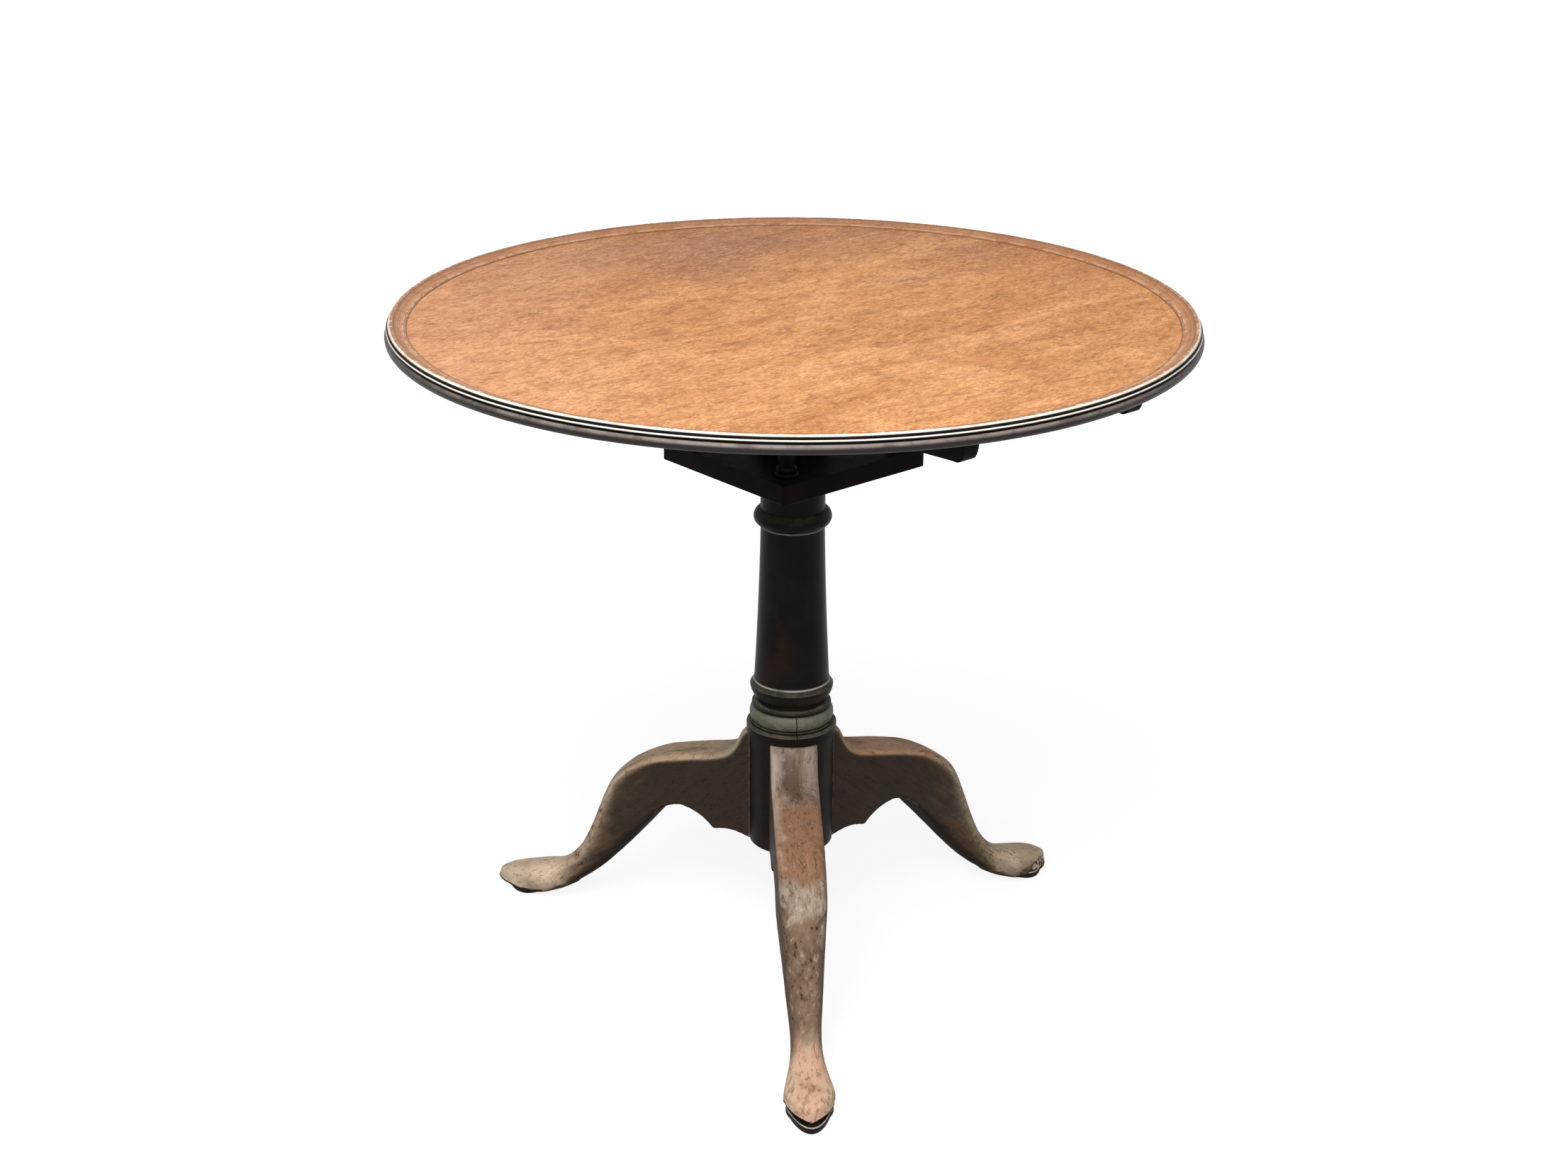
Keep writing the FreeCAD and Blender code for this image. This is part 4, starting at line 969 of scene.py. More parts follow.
def keep(node: str, finish: bpy.types.Material) -> None:
    """Keep a CAD node and give it a finish.

    Args:
        node: Name of the node.
        finish: Material.
    """
    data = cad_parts[node].data
    data.materials.clear()
    data.materials.append(finish)


def ramp(value: float, low: float, high: float) -> float:
    """Smooth step from 0 at low to 1 at high."""
    share = max(0.0, min(1.0, (value - low) / (high - low)))
    return share * share * (3.0 - 2.0 * share)


def islands(node: str) -> list[list[Vector]]:
    """Split a CAD node into its loose solids.

    Args:
        node: Name of the node.

    Returns:
        The points of each solid.
    """
    mesh = copy_node(node, "islands")
    near: list[list[int]] = [[] for _ in mesh.vertices]
    for edge in mesh.edges:
        a, b = edge.vertices
        near[a].append(b)
        near[b].append(a)
    seen: set[int] = set()
    found = []
    for start in range(len(near)):
        if start in seen:
            continue
        seen.add(start)
        queue = [start]
        for spot in queue:
            fresh = [k for k in near[spot] if k not in seen]
            seen.update(fresh)
            queue += fresh
        found.append([mesh.vertices[k].co.copy() for k in queue])
    bpy.data.meshes.remove(mesh)
    return found


def screw_heads(node: str, axis: Vector) -> list[Vector]:
    """Find where the screws of a CAD node have their heads.

    Args:
        node: Name of the node.
        axis: Direction that the heads face.

    Returns:
        The middle of each head.
    """
    spots = []
    for solid in islands(node):
        middle = sum(solid, Vector()) / len(solid)
        head = max(point.dot(axis) for point in solid)
        spots.append(middle + axis * (head - middle.dot(axis)))
    return spots


class Repeater:
    """Geometry Nodes tree that sets copies of one shape on points, each turned a little about its axis."""

    def __init__(self) -> None:
        """Build the tree."""
        self.tree = bpy.data.node_groups.new("repeat_shape", "GeometryNodeTree")
        self.sockets: dict[str, str] = {}
        for name, kind in (("Points", "NodeSocketGeometry"), ("Shape", "NodeSocketObject"),
                           ("Finish", "NodeSocketMaterial"), ("Axis", "NodeSocketVector"),
                           ("Spin", "NodeSocketFloat"), ("Seed", "NodeSocketInt")):
            made = self.tree.interface.new_socket(name=name, in_out="INPUT", socket_type=kind)
            self.sockets[name] = made.identifier
        self.tree.interface.new_socket(name="Geometry", in_out="OUTPUT", socket_type="NodeSocketGeometry")
        given = self.tree.nodes.new("NodeGroupInput").outputs
        shape = self._node("GeometryNodeObjectInfo", {}, {"Object": given["Shape"]})
        aim = self._node("FunctionNodeAlignRotationToVector", {"axis": "Z"}, {"Vector": given["Axis"]})
        chance = self._node("FunctionNodeRandomValue", {"data_type": "FLOAT"},
                            {3: given["Spin"], "Seed": given["Seed"]})
        spin = self._node("FunctionNodeAxisAngleToRotation", {}, {"Angle": chance.outputs[1]})
        turned = self._node("FunctionNodeRotateRotation", {"rotation_space": "LOCAL"},
                            {"Rotation": aim.outputs[0], "Rotate By": spin.outputs[0]})
        copies = self._node("GeometryNodeInstanceOnPoints", {},
                            {"Points": given["Points"], "Instance": shape.outputs["Geometry"],
                             "Rotation": turned.outputs[0]})
        real = self._node("GeometryNodeRealizeInstances", {}, {"Geometry": copies.outputs[0]})
        dressed = self._node("GeometryNodeSetMaterial", {},
                             {"Geometry": real.outputs[0], "Material": given["Finish"]})
        result = self.tree.nodes.new("NodeGroupOutput")
        self.tree.links.new(dressed.outputs[0], result.inputs["Geometry"])

    def _node(self, kind: str, settings: Mapping[str, object],
              inputs: Mapping[str | int, bpy.types.NodeSocket]) -> bpy.types.Node:
        """Add a node.

        Args:
            kind: Type of the node.
            settings: Its options.
            inputs: Sockets for its inputs.

        Returns:
            The node.
        """
        made = self.tree.nodes.new(kind)
        for key, value in settings.items():
            setattr(made, key, value)
        for key, socket in inputs.items():
            self.tree.links.new(socket, made.inputs[key])
        return made

    def copies(self, name: str, shape: bpy.types.Mesh, spots: Sequence[Vector], axis: Vector,
               finish: bpy.types.Material, spin: float, seed: int) -> bpy.types.Mesh:
        """Set a shape on points.

        Args:
            name: Name of the result.
            shape: Mesh whose own axis is Z.
            spots: Places of the copies.
            axis: Direction that the copies' Z axis takes.
            finish: Material.
            spin: Largest turn about the axis.
            seed: Seed of the turns.

        Returns:
            One mesh of all the copies.
        """
        points = bpy.data.meshes.new(name)
        points.from_pydata([tuple(spot) for spot in spots], [], [])
        carrier = link(name, points)
        pattern = link(f"{name}_pattern", shape)
        modifier = carrier.modifiers.new("repeat", "NODES")
        modifier.node_group = self.tree
        values = {"Shape": pattern, "Finish": finish, "Axis": tuple(axis), "Spin": spin, "Seed": seed}
        for key, value in values.items():
            modifier[self.sockets[key]] = value
        mesh = bake(carrier, name)
        bpy.data.objects.remove(pattern)
        return mesh


@dataclass
class Screw:
    """Countersunk screw with a slotted head, its head at the origin facing up; sizes in millimetres."""

    head_radius: float
    head_height: float
    shank_radius: float
    length: float
    slot_share: float = 0.17

    def shape(self, name: str) -> bpy.types.Mesh:
        """Build the screw.

        Args:
            name: Name of the mesh.

        Returns:
            The mesh.
        """
        crown = 0.04 * self.head_radius
        body = Outline(0.0, -self.length)
        body.line(self.shank_radius, self.shank_radius * 1.4 - self.length)
        body.line(self.shank_radius, -self.head_height).line(self.head_radius, -2 * crown)
        body.line(self.head_radius, -crown).line(self.head_radius * 0.94, 0.0).line(0.0, 0.0)
        mesh = body.lathe(name, 40)
        half = self.slot_share * self.head_radius * MM / 2
        long = self.head_radius * 1.2 * MM
        deep = self.head_height * 0.45 * MM
        cut = bmesh.new()
        bmesh.ops.create_cube(cut, size=2.0, matrix=Matrix.Diagonal((long, half, deep, 1.0)))
        blade = bpy.data.meshes.new("screw_slot")
        cut.to_mesh(blade)
        cut.free()
        cutter = link("screw_slot", blade)
        worker = link(name, mesh)
        boolean = worker.modifiers.new("slot", "BOOLEAN")
        boolean.operation = "DIFFERENCE"
        boolean.object = cutter
        made = bake(worker, name)
        bpy.data.objects.remove(cutter)
        smooth_shading(made, 30.0)
        mark_edges(made, 1.4, 0)
        return made


@dataclass
class TrayTop:
    """Dished board with its moulded lip, the bearers under it and their screws."""

    rim: Rim
    finish: bpy.types.Material
    dark: bpy.types.Material
    iron: bpy.types.Material
    repeater: Repeater
    turns: int = 384
    wear: float = 0.25
    ease: Span = (0.8, 12.0)
    nose: float = 335.0
    nose_drop: float = 5.0
    nose_levels: Span = (681.5, 691.0)

    def build(self) -> None:
        """Build and dress the board, the bearers and the screws."""
        self.board()
        for side in ("right", "left"):
            node = f"bearer_{side}"
            mesh = copy_node(node, f"{node}_wood")
            ease_edges(mesh, self.ease[0] * MM, self.ease[1] * MM)
            for vert in mesh.vertices:
                if abs(vert.co.y) > self.nose * MM:
                    vert.co.z -= self.nose_drop * MM * (1.0 - ramp(vert.co.z / MM, *self.nose_levels))
            smooth_shading(mesh)
            mark_edges(mesh, 1.6)
            settle(mesh, Body.TOP, self.dark, [node])
        down = Vector((0, 0, -1))
        spots = screw_heads("bearer_screws", down)
        low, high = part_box("bearer_screws")
        shape = Screw(4.4, 2.6, 2.2, (high.z - low.z) / MM).shape("bearer_screw")
        screws = self.repeater.copies("bearer_screw_set", shape, spots, down, self.iron, math.pi, 11)
        settle(screws, Body.TOP, self.iron, ["bearer_screws"])

    def board(self) -> None:
        """Turn the board and wear its lip."""
        rim = self.rim
        edge = rim.radius
        corner = rim.lip_round * (1 - math.sqrt(0.5))
        roll, quirk, bead = edge - rim.torus_swell, edge - rim.quirk_set, edge - rim.bead_set
        lip, cove = edge - rim.lip_set, edge - rim.width
        section = Outline(0.0, rim.underside).runs((
            (edge - 60.0, rim.underside, 0.0, 5), (roll, rim.underside, 0.0, 6),
            (roll, rim.torus_top, rim.torus_swell, 22), (quirk, rim.torus_top, 0.0, 2),
            (quirk, rim.bead_low, 0.0, 1), (bead, rim.bead_low, 0.0, 2),
            (bead, rim.bead_high, rim.bead_swell, 10), (quirk, rim.bead_high, 0.0, 2),
            (quirk, rim.lip_low, 0.0, 1), (lip, rim.lip_low, 0.0, 2),
            (lip, rim.lip_top - rim.lip_round, 0.0, 2), (lip - rim.lip_round, rim.lip_top, corner, 8),
            (lip - rim.lip_round - rim.lip_crest, rim.lip_top, 0.0, 3),
            (cove, rim.field + rim.field_step, -rim.cove_swell, 12), (cove, rim.field, 0.0, 2),
            (cove - 3.0, rim.field, 0.0, 2), (edge - 120.0, rim.field, 0.0, 8), (0.0, rim.field, 0.0, 6)))
        mesh = section.lathe("tray_board", self.turns)
        inner = (cove + 0.5) * MM
        for vert in mesh.vertices:
            out = math.hypot(vert.co.x, vert.co.y)
            if out < inner:
                continue
            dent = 0.5 + 0.5 * noise.noise(vert.co * 38.0) + 0.35 * noise.noise(vert.co * 140.0)
            pull = self.wear * MM * max(0.0, dent)
            vert.co.x -= vert.co.x / out * pull
            vert.co.y -= vert.co.y / out * pull
            if vert.co.z > (rim.field + 2.0) * MM:
                vert.co.z -= pull * 0.7
        smooth_shading(mesh, 34.0)
        settle(mesh, Body.TOP, self.finish, ["tray_top"])


@dataclass
class Birdcage:
    """Two plates, four turned balusters and two pivot pins."""

    dark: bpy.types.Material
    repeater: Repeater
    radius: float = 11.6
    height: float = 100.3
    tenon: float = 12.0
    tenon_radius: float = 6.5
    plate_ease: Span = (0.7, 30.0)

    def build(self) -> None:
        """Build and dress the plates, balusters and pins."""
        for node, gain, ease in (("cage_lower_plate", 1.6, self.plate_ease),
                                 ("cage_upper_plate", 1.6, self.plate_ease),
                                 ("pivot_pin_right", 1.2, None), ("pivot_pin_left", 1.2, None)):
            mesh = dressed_copy(node, f"{node}_wood", gain, ease)
            settle(mesh, Body.BIRDCAGE, self.dark, [node])
        nodes = [f"baluster_{end}_{side}" for end in ("front", "rear") for side in ("left", "right")]
        spots = []
        for node in nodes:
            low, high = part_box(node)
            spots.append(Vector(((low.x + high.x) / 2, (low.y + high.y) / 2, low.z + self.tenon * MM)))
        mesh = self.repeater.copies("baluster_set", self.baluster(), spots, Vector((0, 0, 1)), self.dark,
                                    math.tau, 5)
        settle(mesh, Body.BIRDCAGE, self.dark, nodes)

    def baluster(self) -> bpy.types.Mesh:
        """Turn one baluster, its foot at the origin.

        Returns:
            The mesh.
        """
        r, h = self.radius, self.height
        swell = 0.1 * r
        section = Outline(0.0, -self.tenon).line(self.tenon_radius, -self.tenon).line(self.tenon_radius, 0.0)
        section.line(0.90 * r, 0.0).bow(0.90 * r, 0.055 * h, swell).line(0.70 * r, 0.055 * h)
        section.line(0.70 * r, 0.068 * h).line(0.80 * r, 0.068 * h).bow(0.80 * r, 0.105 * h, swell)
        section.line(0.64 * r, 0.115 * h)
        section.sweep([(a * r, b * h) for a, b in ((0.74, 0.20), (0.87, 0.30), (0.80, 0.43), (0.60, 0.58),
                                                   (0.50, 0.70), (0.56, 0.765))])
        section.line(0.66 * r, 0.775 * h).bow(0.66 * r, 0.825 * h, swell).line(0.52 * r, 0.835 * h)
        section.sweep([(0.55 * r, 0.89 * h), (0.80 * r, 0.945 * h)])
        section.line(0.94 * r, 0.95 * h).line(0.94 * r, h).line(self.tenon_radius, h)
        section.line(self.tenon_radius, h + self.tenon).line(0.0, h + self.tenon)
        mesh = section.lathe("baluster", 64)
        smooth_shading(mesh)
        mark_edges(mesh, 1.6)
        return mesh


@dataclass(frozen=True)
class Chip:
    """Chip out of a leg: place along, across and up the leg in millimetres, with its radius and depth."""

    along: float
    across: float
    up: float
    radius: float
    depth: float


@dataclass(frozen=True)
class LegLook:
    """What sets one leg apart: place, finish, chips, turn in degrees, and its foot's shape in millimetres.

    The rubbing reaches round the shin by wrap. The pad runs out by toe, widens by the share spread and thins
    by the share droop; its lower edge drops by sink and climbs by lift towards its sides, and its end's top
    draws back by nip. The cushion under it loses the share tuck of its outer half and comes to a point.
    """

    name: str
    finish: bpy.types.Material
    chips: tuple[Chip, ...]
    swing: float = 0.0
    wrap: float = 0.0
    foot: float = 0.0
    toe: float = 0.0
    spread: float = 0.0
    droop: float = 0.0
    sink: float = 0.0
    lift: float = 0.0
    tuck: float = 0.0
    nip: float = 0.0
    point: float = 8.0


@dataclass
class Stand:
    """Turned column, three cabriole legs, and the collar and wedge that lock the birdcage; in millimetres."""

    column_finish: bpy.types.Material
    legs: tuple[LegLook, ...]
    dark: bpy.types.Material
    leg_turn: float = -127.8
    voxel: float = 1.6
    easing: int = 120
    whole_easing: int = 4
    pad_easing: int = 14
    pad_corner: Span = (300.0, 12.5)
    shin: Span = (150.0, 310.0)
    shin_last: Span = (220.0, 285.0)
    shin_low: float = 22.0
    swells: tuple[Span, ...] = ((0.30, 34.0), (0.12, 120.0))
    sole_fade: Span = (1.0, 3.0)
    chip_ragged: Span = (0.30, 150.0)
    chip_slope: float = 1.8
    wrap_run: Span = (150.0, 250.0)
    rub_run: Span = (225.0, 320.0)
    cushion_reach: float = 334.0
    cushion_slim: float = 0.10
    cushion_start: Span = (298.0, 307.0)
    seam: Span = (9.2, 10.7)
    point_limit: float = 17.0
    point_run: Span = (310.0, 334.0)
    pad_low: float = 11.0
    pad_half: float = 26.5
    pad_run: Span = (312.0, 348.0)
    pad_edge: Span = (11.0, 32.0)
    nip_run: Span = (338.0, 360.4)
    nip_rise: Span = (12.0, 26.0)
    foot_run: Span = (210.0, 310.0)
    lift_run: Span = (306.0, 322.0)
    sink_run: Span = (300.0, 330.0)
    leg_start: float = 50.0
    flat: float = 36.2
    leg_half: float = 25.0
    drum_low: float = 140.0
    drum_top: float = 266.0
    drum_radius: float = 44.0
    drum_ease: float = 3.0
    collar_radius: float = 47.0
    collar_ease: float = 1.5
    collar_top: float = 278.0
    mouldings: tuple[tuple[float, float, float, int], ...] = (
        (43.2, 278.0, 0.0, 2), (43.2, 280.0, 0.0, 1), (40.4, 280.0, 0.0, 1), (40.4, 297.0, 3.4, 16),
        (39.4, 297.0, 0.0, 1), (39.4, 302.0, 2.0, 10), (35.6, 302.0, 0.0, 2), (35.6, 304.8, 0.0, 2),
        (43.2, 318.8, 1.3, 12), (43.2, 320.8, 0.0, 2), (38.7, 333.3, -1.3, 12), (32.8, 494.4, -0.75, 44),
        (33.0, 496.4, 0.9, 6), (33.4, 496.4, 0.0, 1), (33.0, 513.9, 6.8, 18))
    neck_radius: float = 33.0
    seat: float = 561.3
    pintle_radius: float = 21.0
    pintle_top: float = 680.8
    tip_radius: float = 15.0
    chamfer: float = 1.5
    wedge_ease: Span = (0.8, 5.0)
    turns: int = 224

    def build(self) -> None:
        """Build and dress the column, the legs, the collar and the wedge."""
        self.column()
        pattern = self.leg_pattern()
        for index, look in enumerate(self.legs):
            self.leg(pattern, look, index)
        bpy.data.meshes.remove(pattern)
        for node, ease in (("cage_collar", None), ("cage_wedge", self.wedge_ease)):
            mesh = dressed_copy(node, f"{node}_wood", 1.5, ease)
            settle(mesh, Body.STAND, self.dark, [node])

    def column(self) -> None:
        """Turn the column and cut its drum flat where the legs stand."""
        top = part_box("column")[1].z / MM
        quarter = 1 - math.sqrt(0.5)
        drum, collar, ease, chamfer = self.drum_radius, self.collar_radius, self.collar_ease, self.chamfer
        section = Outline(0.0, self.drum_low).line(drum - self.drum_ease, self.drum_low, 4)
        section.bow(drum, self.drum_low + self.drum_ease, self.drum_ease * quarter, 5)
        section.line(drum, self.drum_top, 24).line(collar - ease, self.drum_top, 2)
        section.bow(collar, self.drum_top + ease, ease * quarter, 5).line(collar, self.collar_top - ease, 4)
        section.bow(collar - ease, self.collar_top, ease * quarter, 5).runs(self.mouldings)
        section.line(self.neck_radius, self.seat, 14)
        section.line(self.pintle_radius, self.seat, 2).line(self.pintle_radius, self.pintle_top - chamfer, 16)
        section.line(self.pintle_radius - chamfer, self.pintle_top).line(self.tip_radius, self.pintle_top)
        section.line(self.tip_radius, top - chamfer, 4).line(self.tip_radius - chamfer, top).line(0.0, top)
        mesh = section.lathe("column_wood", self.turns)
        for index, look in enumerate(self.legs):
            turn = math.radians(self.leg_turn + 120.0 * index + look.swing)
            out = Vector((math.cos(turn), math.sin(turn), 0.0))
            for vert in mesh.vertices:
                past = vert.co.dot(out) - self.flat * MM
                aside = abs(vert.co.x * out.y - vert.co.y * out.x)
                if past > 0.0 and aside < self.leg_half * MM and vert.co.z < (self.drum_top + 0.1) * MM:
                    vert.co -= out * past
        smooth_shading(mesh, 30.0)
        mark_edges(mesh, 1.5)
        settle(mesh, Body.STAND, self.column_finish, ["column"])

    def leg_pattern(self) -> bpy.types.Mesh:
        """Remesh one leg evenly, lying along the X axis.

        Returns:
            The mesh.
        """
        source = copy_node("leg_front", "leg_pattern")
        source.transform(Matrix.Rotation(math.radians(-self.leg_turn), 4, "Z"))
        worker = link("leg_pattern", source)
        remesh = worker.modifiers.new("even", "REMESH")
        remesh.mode = "VOXEL"
        remesh.voxel_size = self.voxel * MM
        mesh = bake(worker, "leg_even")
        shape = bmesh.new()
        shape.from_mesh(mesh)
        for step in range(self.easing):
            share = step / self.easing
            low, high = (MM * (first + (last - first) * share)
                         for first, last in zip(self.shin, self.shin_last))
            pad_reach, pad_level = (MM * value for value in self.pad_corner)
            loose = [vert for vert in shape.verts if step < self.whole_easing
                     or (low < vert.co.x < high and vert.co.z > self.shin_low * MM)
                     or (step < self.pad_easing and vert.co.x > pad_reach and vert.co.z > pad_level)]
            bmesh.ops.smooth_vert(shape, verts=loose, factor=0.5, use_axis_x=True, use_axis_y=True,
                                  use_axis_z=True)
        shape.to_mesh(mesh)
        shape.free()
        return mesh

    def leg(self, pattern: bpy.types.Mesh, look: LegLook, index: int) -> None:
        """Wear and dress one leg.

        Args:
            pattern: Even mesh of a leg along the X axis.
            look: What sets the leg apart.
            index: Number of the leg, from the front one round.
        """
        mesh = pattern.copy()
        mesh.name = f"leg_{look.name}_wood"
        shift = Vector((7.3, 1.9, 4.1)) * index
        normals = [vert.normal.copy() for vert in mesh.vertices]
        bare = [0.0] * len(normals)
        for vert, normal in zip(mesh.vertices, normals):
            spot = vert.co.copy()
            if spot.x < self.leg_start * MM:
                continue
            swell = sum(size * noise.noise(spot * scale + shift) for size, scale in self.swells)
            move = normal * swell * MM * ramp(spot.z / MM, *self.sole_fade)
            for chip in look.chips:
                gap = (spot - Vector((chip.along, chip.across, chip.up)) * MM).length / (chip.radius * MM)
                gap += self.chip_ragged[0] * noise.noise(spot * self.chip_ragged[1] + shift)
                if gap < 1.0:
                    depth = min(1.0, (1.0 - gap) * self.chip_slope)
                    move -= normal * chip.depth * MM * depth
                    bare[vert.index] = max(bare[vert.index], depth)
            vert.co += move + self.foot(spot, look) - spot
            vert.co.z = max(0.0, vert.co.z)
        layer = []
        disc = []
        rub = []
        flow: list[float] = []
        for vert, normal, source in zip(mesh.vertices, normals, pattern.vertices):
            wrap = look.wrap * ramp(vert.co.x / MM, *self.wrap_run)
            up = ramp(normal.z + 0.55 * normal.x, 0.12 - wrap, 0.67 - 0.4 * wrap)
            rub.append(max(up, ramp(vert.co.x / MM, *self.rub_run) * ramp(normal.z, -0.55, 0.05)))
            x, y, z = source.co
            layer.append(z if x > self.pad_corner[0] * MM else 1.0)
            disc.append(math.hypot(x - self.cushion_reach * MM, y))
            x, y, z = vert.co
            flow.extend(Vector((0.75 * x - 0.66 * z, y, 0.66 * x + 0.75 * z)) + shift)
        side = [vert.co.y / (self.leg_half * MM) for vert in mesh.vertices]
        for name, values in (("side", side), ("layer", layer), ("disc", disc), ("rub", rub), ("bare", bare)):
            store(mesh, name, values)
        mesh.attributes.new("flow", "FLOAT_VECTOR", "POINT").data.foreach_set("vector", flow)
        mark_edges(mesh, 2.2, 2)
        turn = self.leg_turn + 120.0 * index + look.swing
        mesh.transform(Matrix.Rotation(math.radians(turn), 4, "Z"))
        smooth_shading(mesh, 60.0)
        settle(mesh, Body.STAND, look.finish, [f"leg_{look.name}"])

    def foot(self, spot: Vector, look: LegLook) -> Vector:
        """Shape the foot of a leg that lies along the X axis.

        Args:
            spot: Point of the even leg.
            look: What sets the leg apart.

        Returns:
            Where the point goes.
        """
        x, y, z = spot / MM
        upper = ramp(z, *self.seam)
        under = (1.0 - upper) * ramp(x, *self.cushion_start)
        pad = upper * ramp(x, *self.pad_run)
        low = upper * (1.0 - ramp(z, *self.pad_edge))
        aside = min(1.0, abs(y) / self.pad_half)
        tuck = look.tuck * under * max(0.0, x - self.cushion_reach)
        point = min(self.point_limit, look.point * MM * y * y) * under * ramp(x, *self.point_run)
        nip = look.nip * upper * ramp(x, *self.nip_run) * ramp(z, *self.nip_rise)
        along = x - tuck - point - nip + look.toe * pad + look.foot * ramp(x, *self.foot_run)
        level = z - look.droop * pad * max(0.0, z - self.pad_low)
        level += low * (look.lift * aside * ramp(x, *self.lift_run) - look.sink * ramp(x, *self.sink_run))
        wide = 1.0 + look.spread * pad - self.cushion_slim * under
        return Vector((along, y * wide, level)) * MM


@dataclass
class Catch:
    """Brass spring catch: case, bolt, knob, keeper, spring and small screws."""

    brass: bpy.types.Material
    steel: bpy.types.Material
    repeater: Repeater
    ease: Span = (0.35, 6.0)

    def build(self) -> None:
        """Build and dress the catch."""
        for node, body, ease in (("catch_case", Body.TOP, self.ease), ("catch_bolt", Body.CATCH, self.ease),
                                 ("catch_knob", Body.CATCH, None), ("catch_keeper", Body.BIRDCAGE, None)):
            mesh = dressed_copy(node, f"{node}_brass", 1.4, ease)
            settle(mesh, body, self.brass, [node])
        keep("catch_spring", self.steel)
        shape = Screw(2.7, 1.4, 1.4, 9.0).shape("small_screw")
        for node, axis, body, seed in (("catch_screws", Vector((0, 0, -1)), Body.TOP, 3),
                                       ("keeper_screws", Vector((0, 1, 0)), Body.BIRDCAGE, 8)):
            spots = screw_heads(node, axis)
            mesh = self.repeater.copies(f"{node}_set", shape.copy(), spots, axis, self.brass, math.pi, seed)
            settle(mesh, body, self.brass, [node])
        bpy.data.meshes.remove(shape)


@dataclass(frozen=True)
class Lamp:
    """Square soft lamp: where it hangs, the point that it faces, its side and its power in watts."""

    name: str
    spot: Colour
    aim: Colour
    size: float
    power: float

    def hang(self) -> None:
        """Hang the lamp."""
        data = bpy.data.lights.new(self.name, "AREA")
        data.shape = "SQUARE"
        data.size = self.size
        data.energy = self.power
        lamp = link(self.name, data)
        lamp.location = self.spot
        lamp.rotation_euler = (Vector(self.aim) - Vector(self.spot)).to_track_quat("-Z", "Y").to_euler()


@dataclass
class Studio:
    """Pale floor, soft light and the camera."""

    spot: Colour = (-1.6006, -1.8116, 1.3801)
    heading: float = 48.741
    pitch: float = 21.545
    roll: float = 0.334
    lens: float = 58.155
    floor_half: float = 14.0
    floor_glow: float = 1.17
    ambient: float = 0.16
    lamps: tuple[Lamp, ...] = (Lamp("key", (-1.55, -1.05, 2.25), (0.0, 0.0, 0.50), 1.3, 56.0),
                               Lamp("overhead", (-0.2, -0.4, 3.0), (0.0, 0.0, 0.7), 1.6, 24.0),
                               Lamp("fill", (-1.7, -2.3, 1.5), (0.0, 0.0, 0.10), 1.4, 22.0))

    def build(self) -> None:
        """Set the floor, the lamps, the world and the camera."""
        self.floor()
        for lamp in self.lamps:
            lamp.hang()
        self.world()
        self.camera()
        bpy.context.scene.view_settings.view_transform = "Standard"

    def seen(self, r: Recipe) -> Shade:
        """One for rays that show the backdrop itself."""
        rays = [r.node("ShaderNodeLightPath", None, None, name)
                for name in ("Is Camera Ray", "Is Glossy Ray", "Is Transmission Ray")]
        return (rays[0] + rays[1] + rays[2]).clamp()

    def floor(self) -> None:
        """Lay a pale floor that shows white, keeps a soft shadow and is clear from below."""
        half = self.floor_half
        mesh = bpy.data.meshes.new("floor")
        mesh.from_pydata([(-half, -half, 0), (half, -half, 0), (half, half, 0), (-half, half, 0)], [],
                         [(0, 1, 2, 3)])
        r = Recipe("pale_floor")
        seen = self.seen(r)
        tone = r.mix(seen, (0.55, 0.55, 0.55), (0.95, 0.95, 0.95))
        matt = r.node("ShaderNodeBsdfDiffuse", None, {"Color": tone})
        glow = r.node("ShaderNodeEmission", None, {"Color": (1.0, 1.0, 1.0), "Strength": self.floor_glow})
        share = 0.75 + 0.25 * r.reach(r.place()).rise(0.6, 1.6)
        mixed = r.node("ShaderNodeMixShader", None, {0: seen * share, 1: matt, 2: glow})
        clear = r.node("ShaderNodeBsdfTransparent")
        back = r.node("ShaderNodeNewGeometry", None, None, "Backfacing")
        surface = r.node("ShaderNodeMixShader", None, {0: back, 1: mixed, 2: clear})
        r.end("ShaderNodeOutputMaterial", surface)
        mesh.materials.append(r.material)
        link("floor", mesh)

    def world(self) -> None:
        """Light everything a little from all round, behind a white backdrop."""
        world = bpy.data.worlds.new("studio")
        bpy.context.scene.world = world
        r = Recipe("studio", world)
        strength = self.ambient + (1.0 - self.ambient) * self.seen(r)
        sky = r.node("ShaderNodeBackground", None, {"Color": (1.0, 1.0, 1.0), "Strength": strength})
        r.end("ShaderNodeOutputWorld", sky)

    def camera(self) -> None:
        """Stand the camera where the photograph was taken."""
        data = bpy.data.cameras.new("camera")
        data.sensor_width = 36.0
        data.sensor_fit = "HORIZONTAL"
        data.lens = self.lens
        data.clip_end = 100.0
        turn, tip = math.radians(self.heading), math.radians(self.pitch)
        forward = Vector((math.cos(tip) * math.cos(turn), math.cos(tip) * math.sin(turn), -math.sin(tip)))
        right = forward.cross(Vector((0, 0, 1))).normalized()
        up = right.cross(forward)
        basis = Matrix((right, up, -forward)).transposed()
        camera = link("camera", data)
        camera.matrix_world = (Matrix.Translation(self.spot) @ basis.to_4x4()
                               @ Matrix.Rotation(math.radians(self.roll), 4, "Z"))
        bpy.context.scene.camera = camera


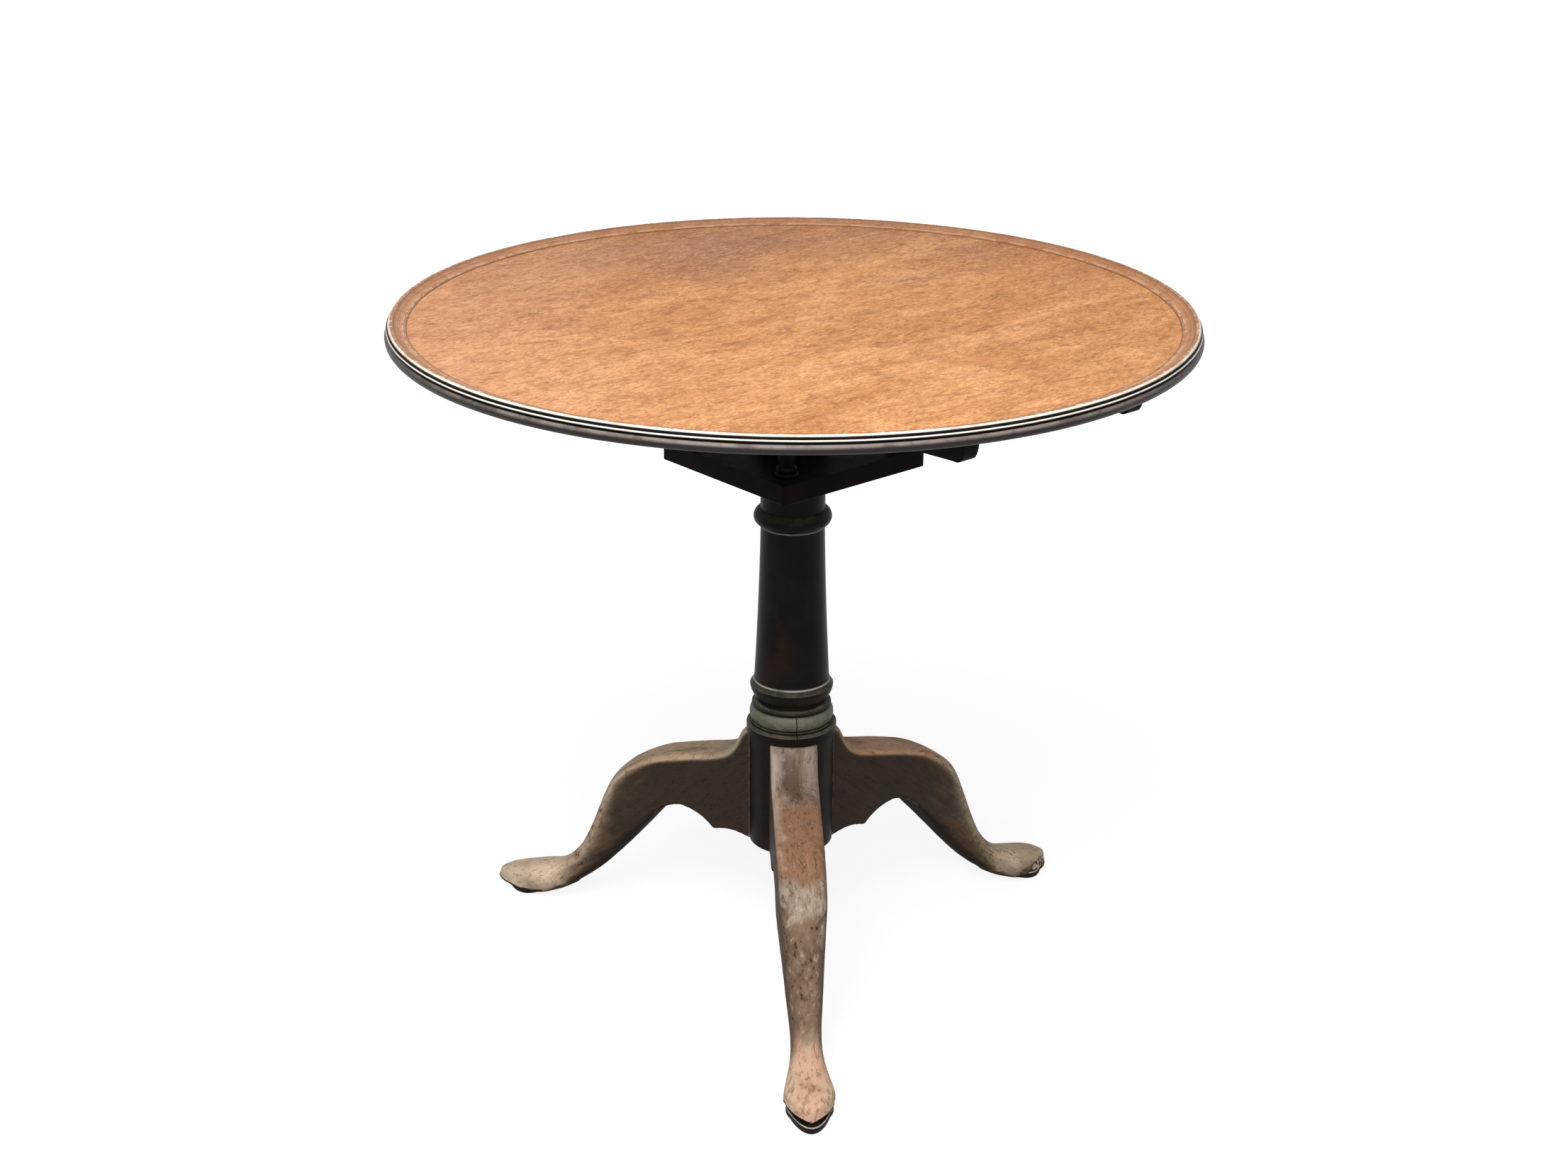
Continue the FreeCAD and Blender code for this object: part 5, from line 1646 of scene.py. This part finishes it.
def leg_looks() -> tuple[LegLook, ...]:
    """Finish each leg.

    Returns:
        The legs, from the front one round.
    """
    front = LegMahogany("leg_front_mahogany", (0.32, 0.25, 0.20), (0.325, 0.172, 0.096),
                        (0.228, 0.150, 0.094), (0.68, 0.42, 0.285), 0.85, 0.55)
    # The side legs' tones are painted lighter, a painted light that makes up for the tray's shadow on them.
    right = LegMahogany("leg_right_mahogany", (0.42, 0.255, 0.15), (0.50, 0.295, 0.175), (0.44, 0.33, 0.22),
                        (0.66, 0.52, 0.36), 0.0, 0.8, 0.7, straw=(0.52, 0.43, 0.28), shaded=0.1, groove=12.0,
                        heel=0.8)
    left = LegMahogany("leg_left_mahogany", (0.42, 0.335, 0.235), (0.57, 0.40, 0.26), (0.54, 0.40, 0.27),
                       (0.82, 0.63, 0.455), 0.0, 0.5, 0.5, straw=(0.76, 0.62, 0.455), shaded=0.1, groove=12.4,
                       heel=0.7)
    chips = (Chip(312, -25, 14, 6, 2.0), Chip(319, -25, 15, 7, 2.4), Chip(327, -24, 16, 8, 2.8),
             Chip(335, -19, 18, 8, 2.8), Chip(343, -11, 19, 8, 2.6))
    return (LegLook("front", front.make(), (), toe=1.5, spread=0.18, lift=7.0, tuck=0.2, point=36.0),
            LegLook("right", right.make(), chips, swing=1.8, wrap=0.34, foot=-1.0, toe=14.0, spread=0.06,
                    droop=0.22, sink=5.0, tuck=0.38, nip=6.0),
            LegLook("left", left.make(), (), wrap=0.30, foot=-1.0, toe=25.0, spread=0.02, droop=0.50,
                    sink=4.5, tuck=0.18, nip=9.0))


def main() -> None:
    """Build the studio and every sub-assembly."""
    logging.basicConfig(level=logging.INFO, format="%(name)s: %(message)s")
    rim = Rim()
    tray = TrayMahogany(rim).make()
    dark = DarkMahogany((0.07, 1.0, 1.0), "mahogany_cage", (0.0040, 0.0028, 0.0022), (0.0125, 0.007, 0.0045),
                        (0.05, 0.044, 0.034), (0.055, 0.041, 0.031), shine=0.02).make()
    turned = DarkMahogany((1.0, 1.0, 0.07), column=True).make()
    brass = OldMetal("old_brass", (0.62, 0.44, 0.17), (0.23, 0.15, 0.06)).make()
    steel = OldMetal("spring_steel", (0.40, 0.41, 0.43), (0.16, 0.16, 0.18), 0.30).make()
    iron = OldMetal("dark_iron", (0.20, 0.19, 0.18), (0.075, 0.06, 0.05), 0.48).make()
    repeater = Repeater()
    Studio().build()
    TrayTop(rim, tray, dark, iron, repeater).build()
    Birdcage(dark, repeater).build()
    Stand(turned, leg_looks(), dark).build()
    Catch(brass, steel, repeater).build()


if __name__ == "__main__":
    main()
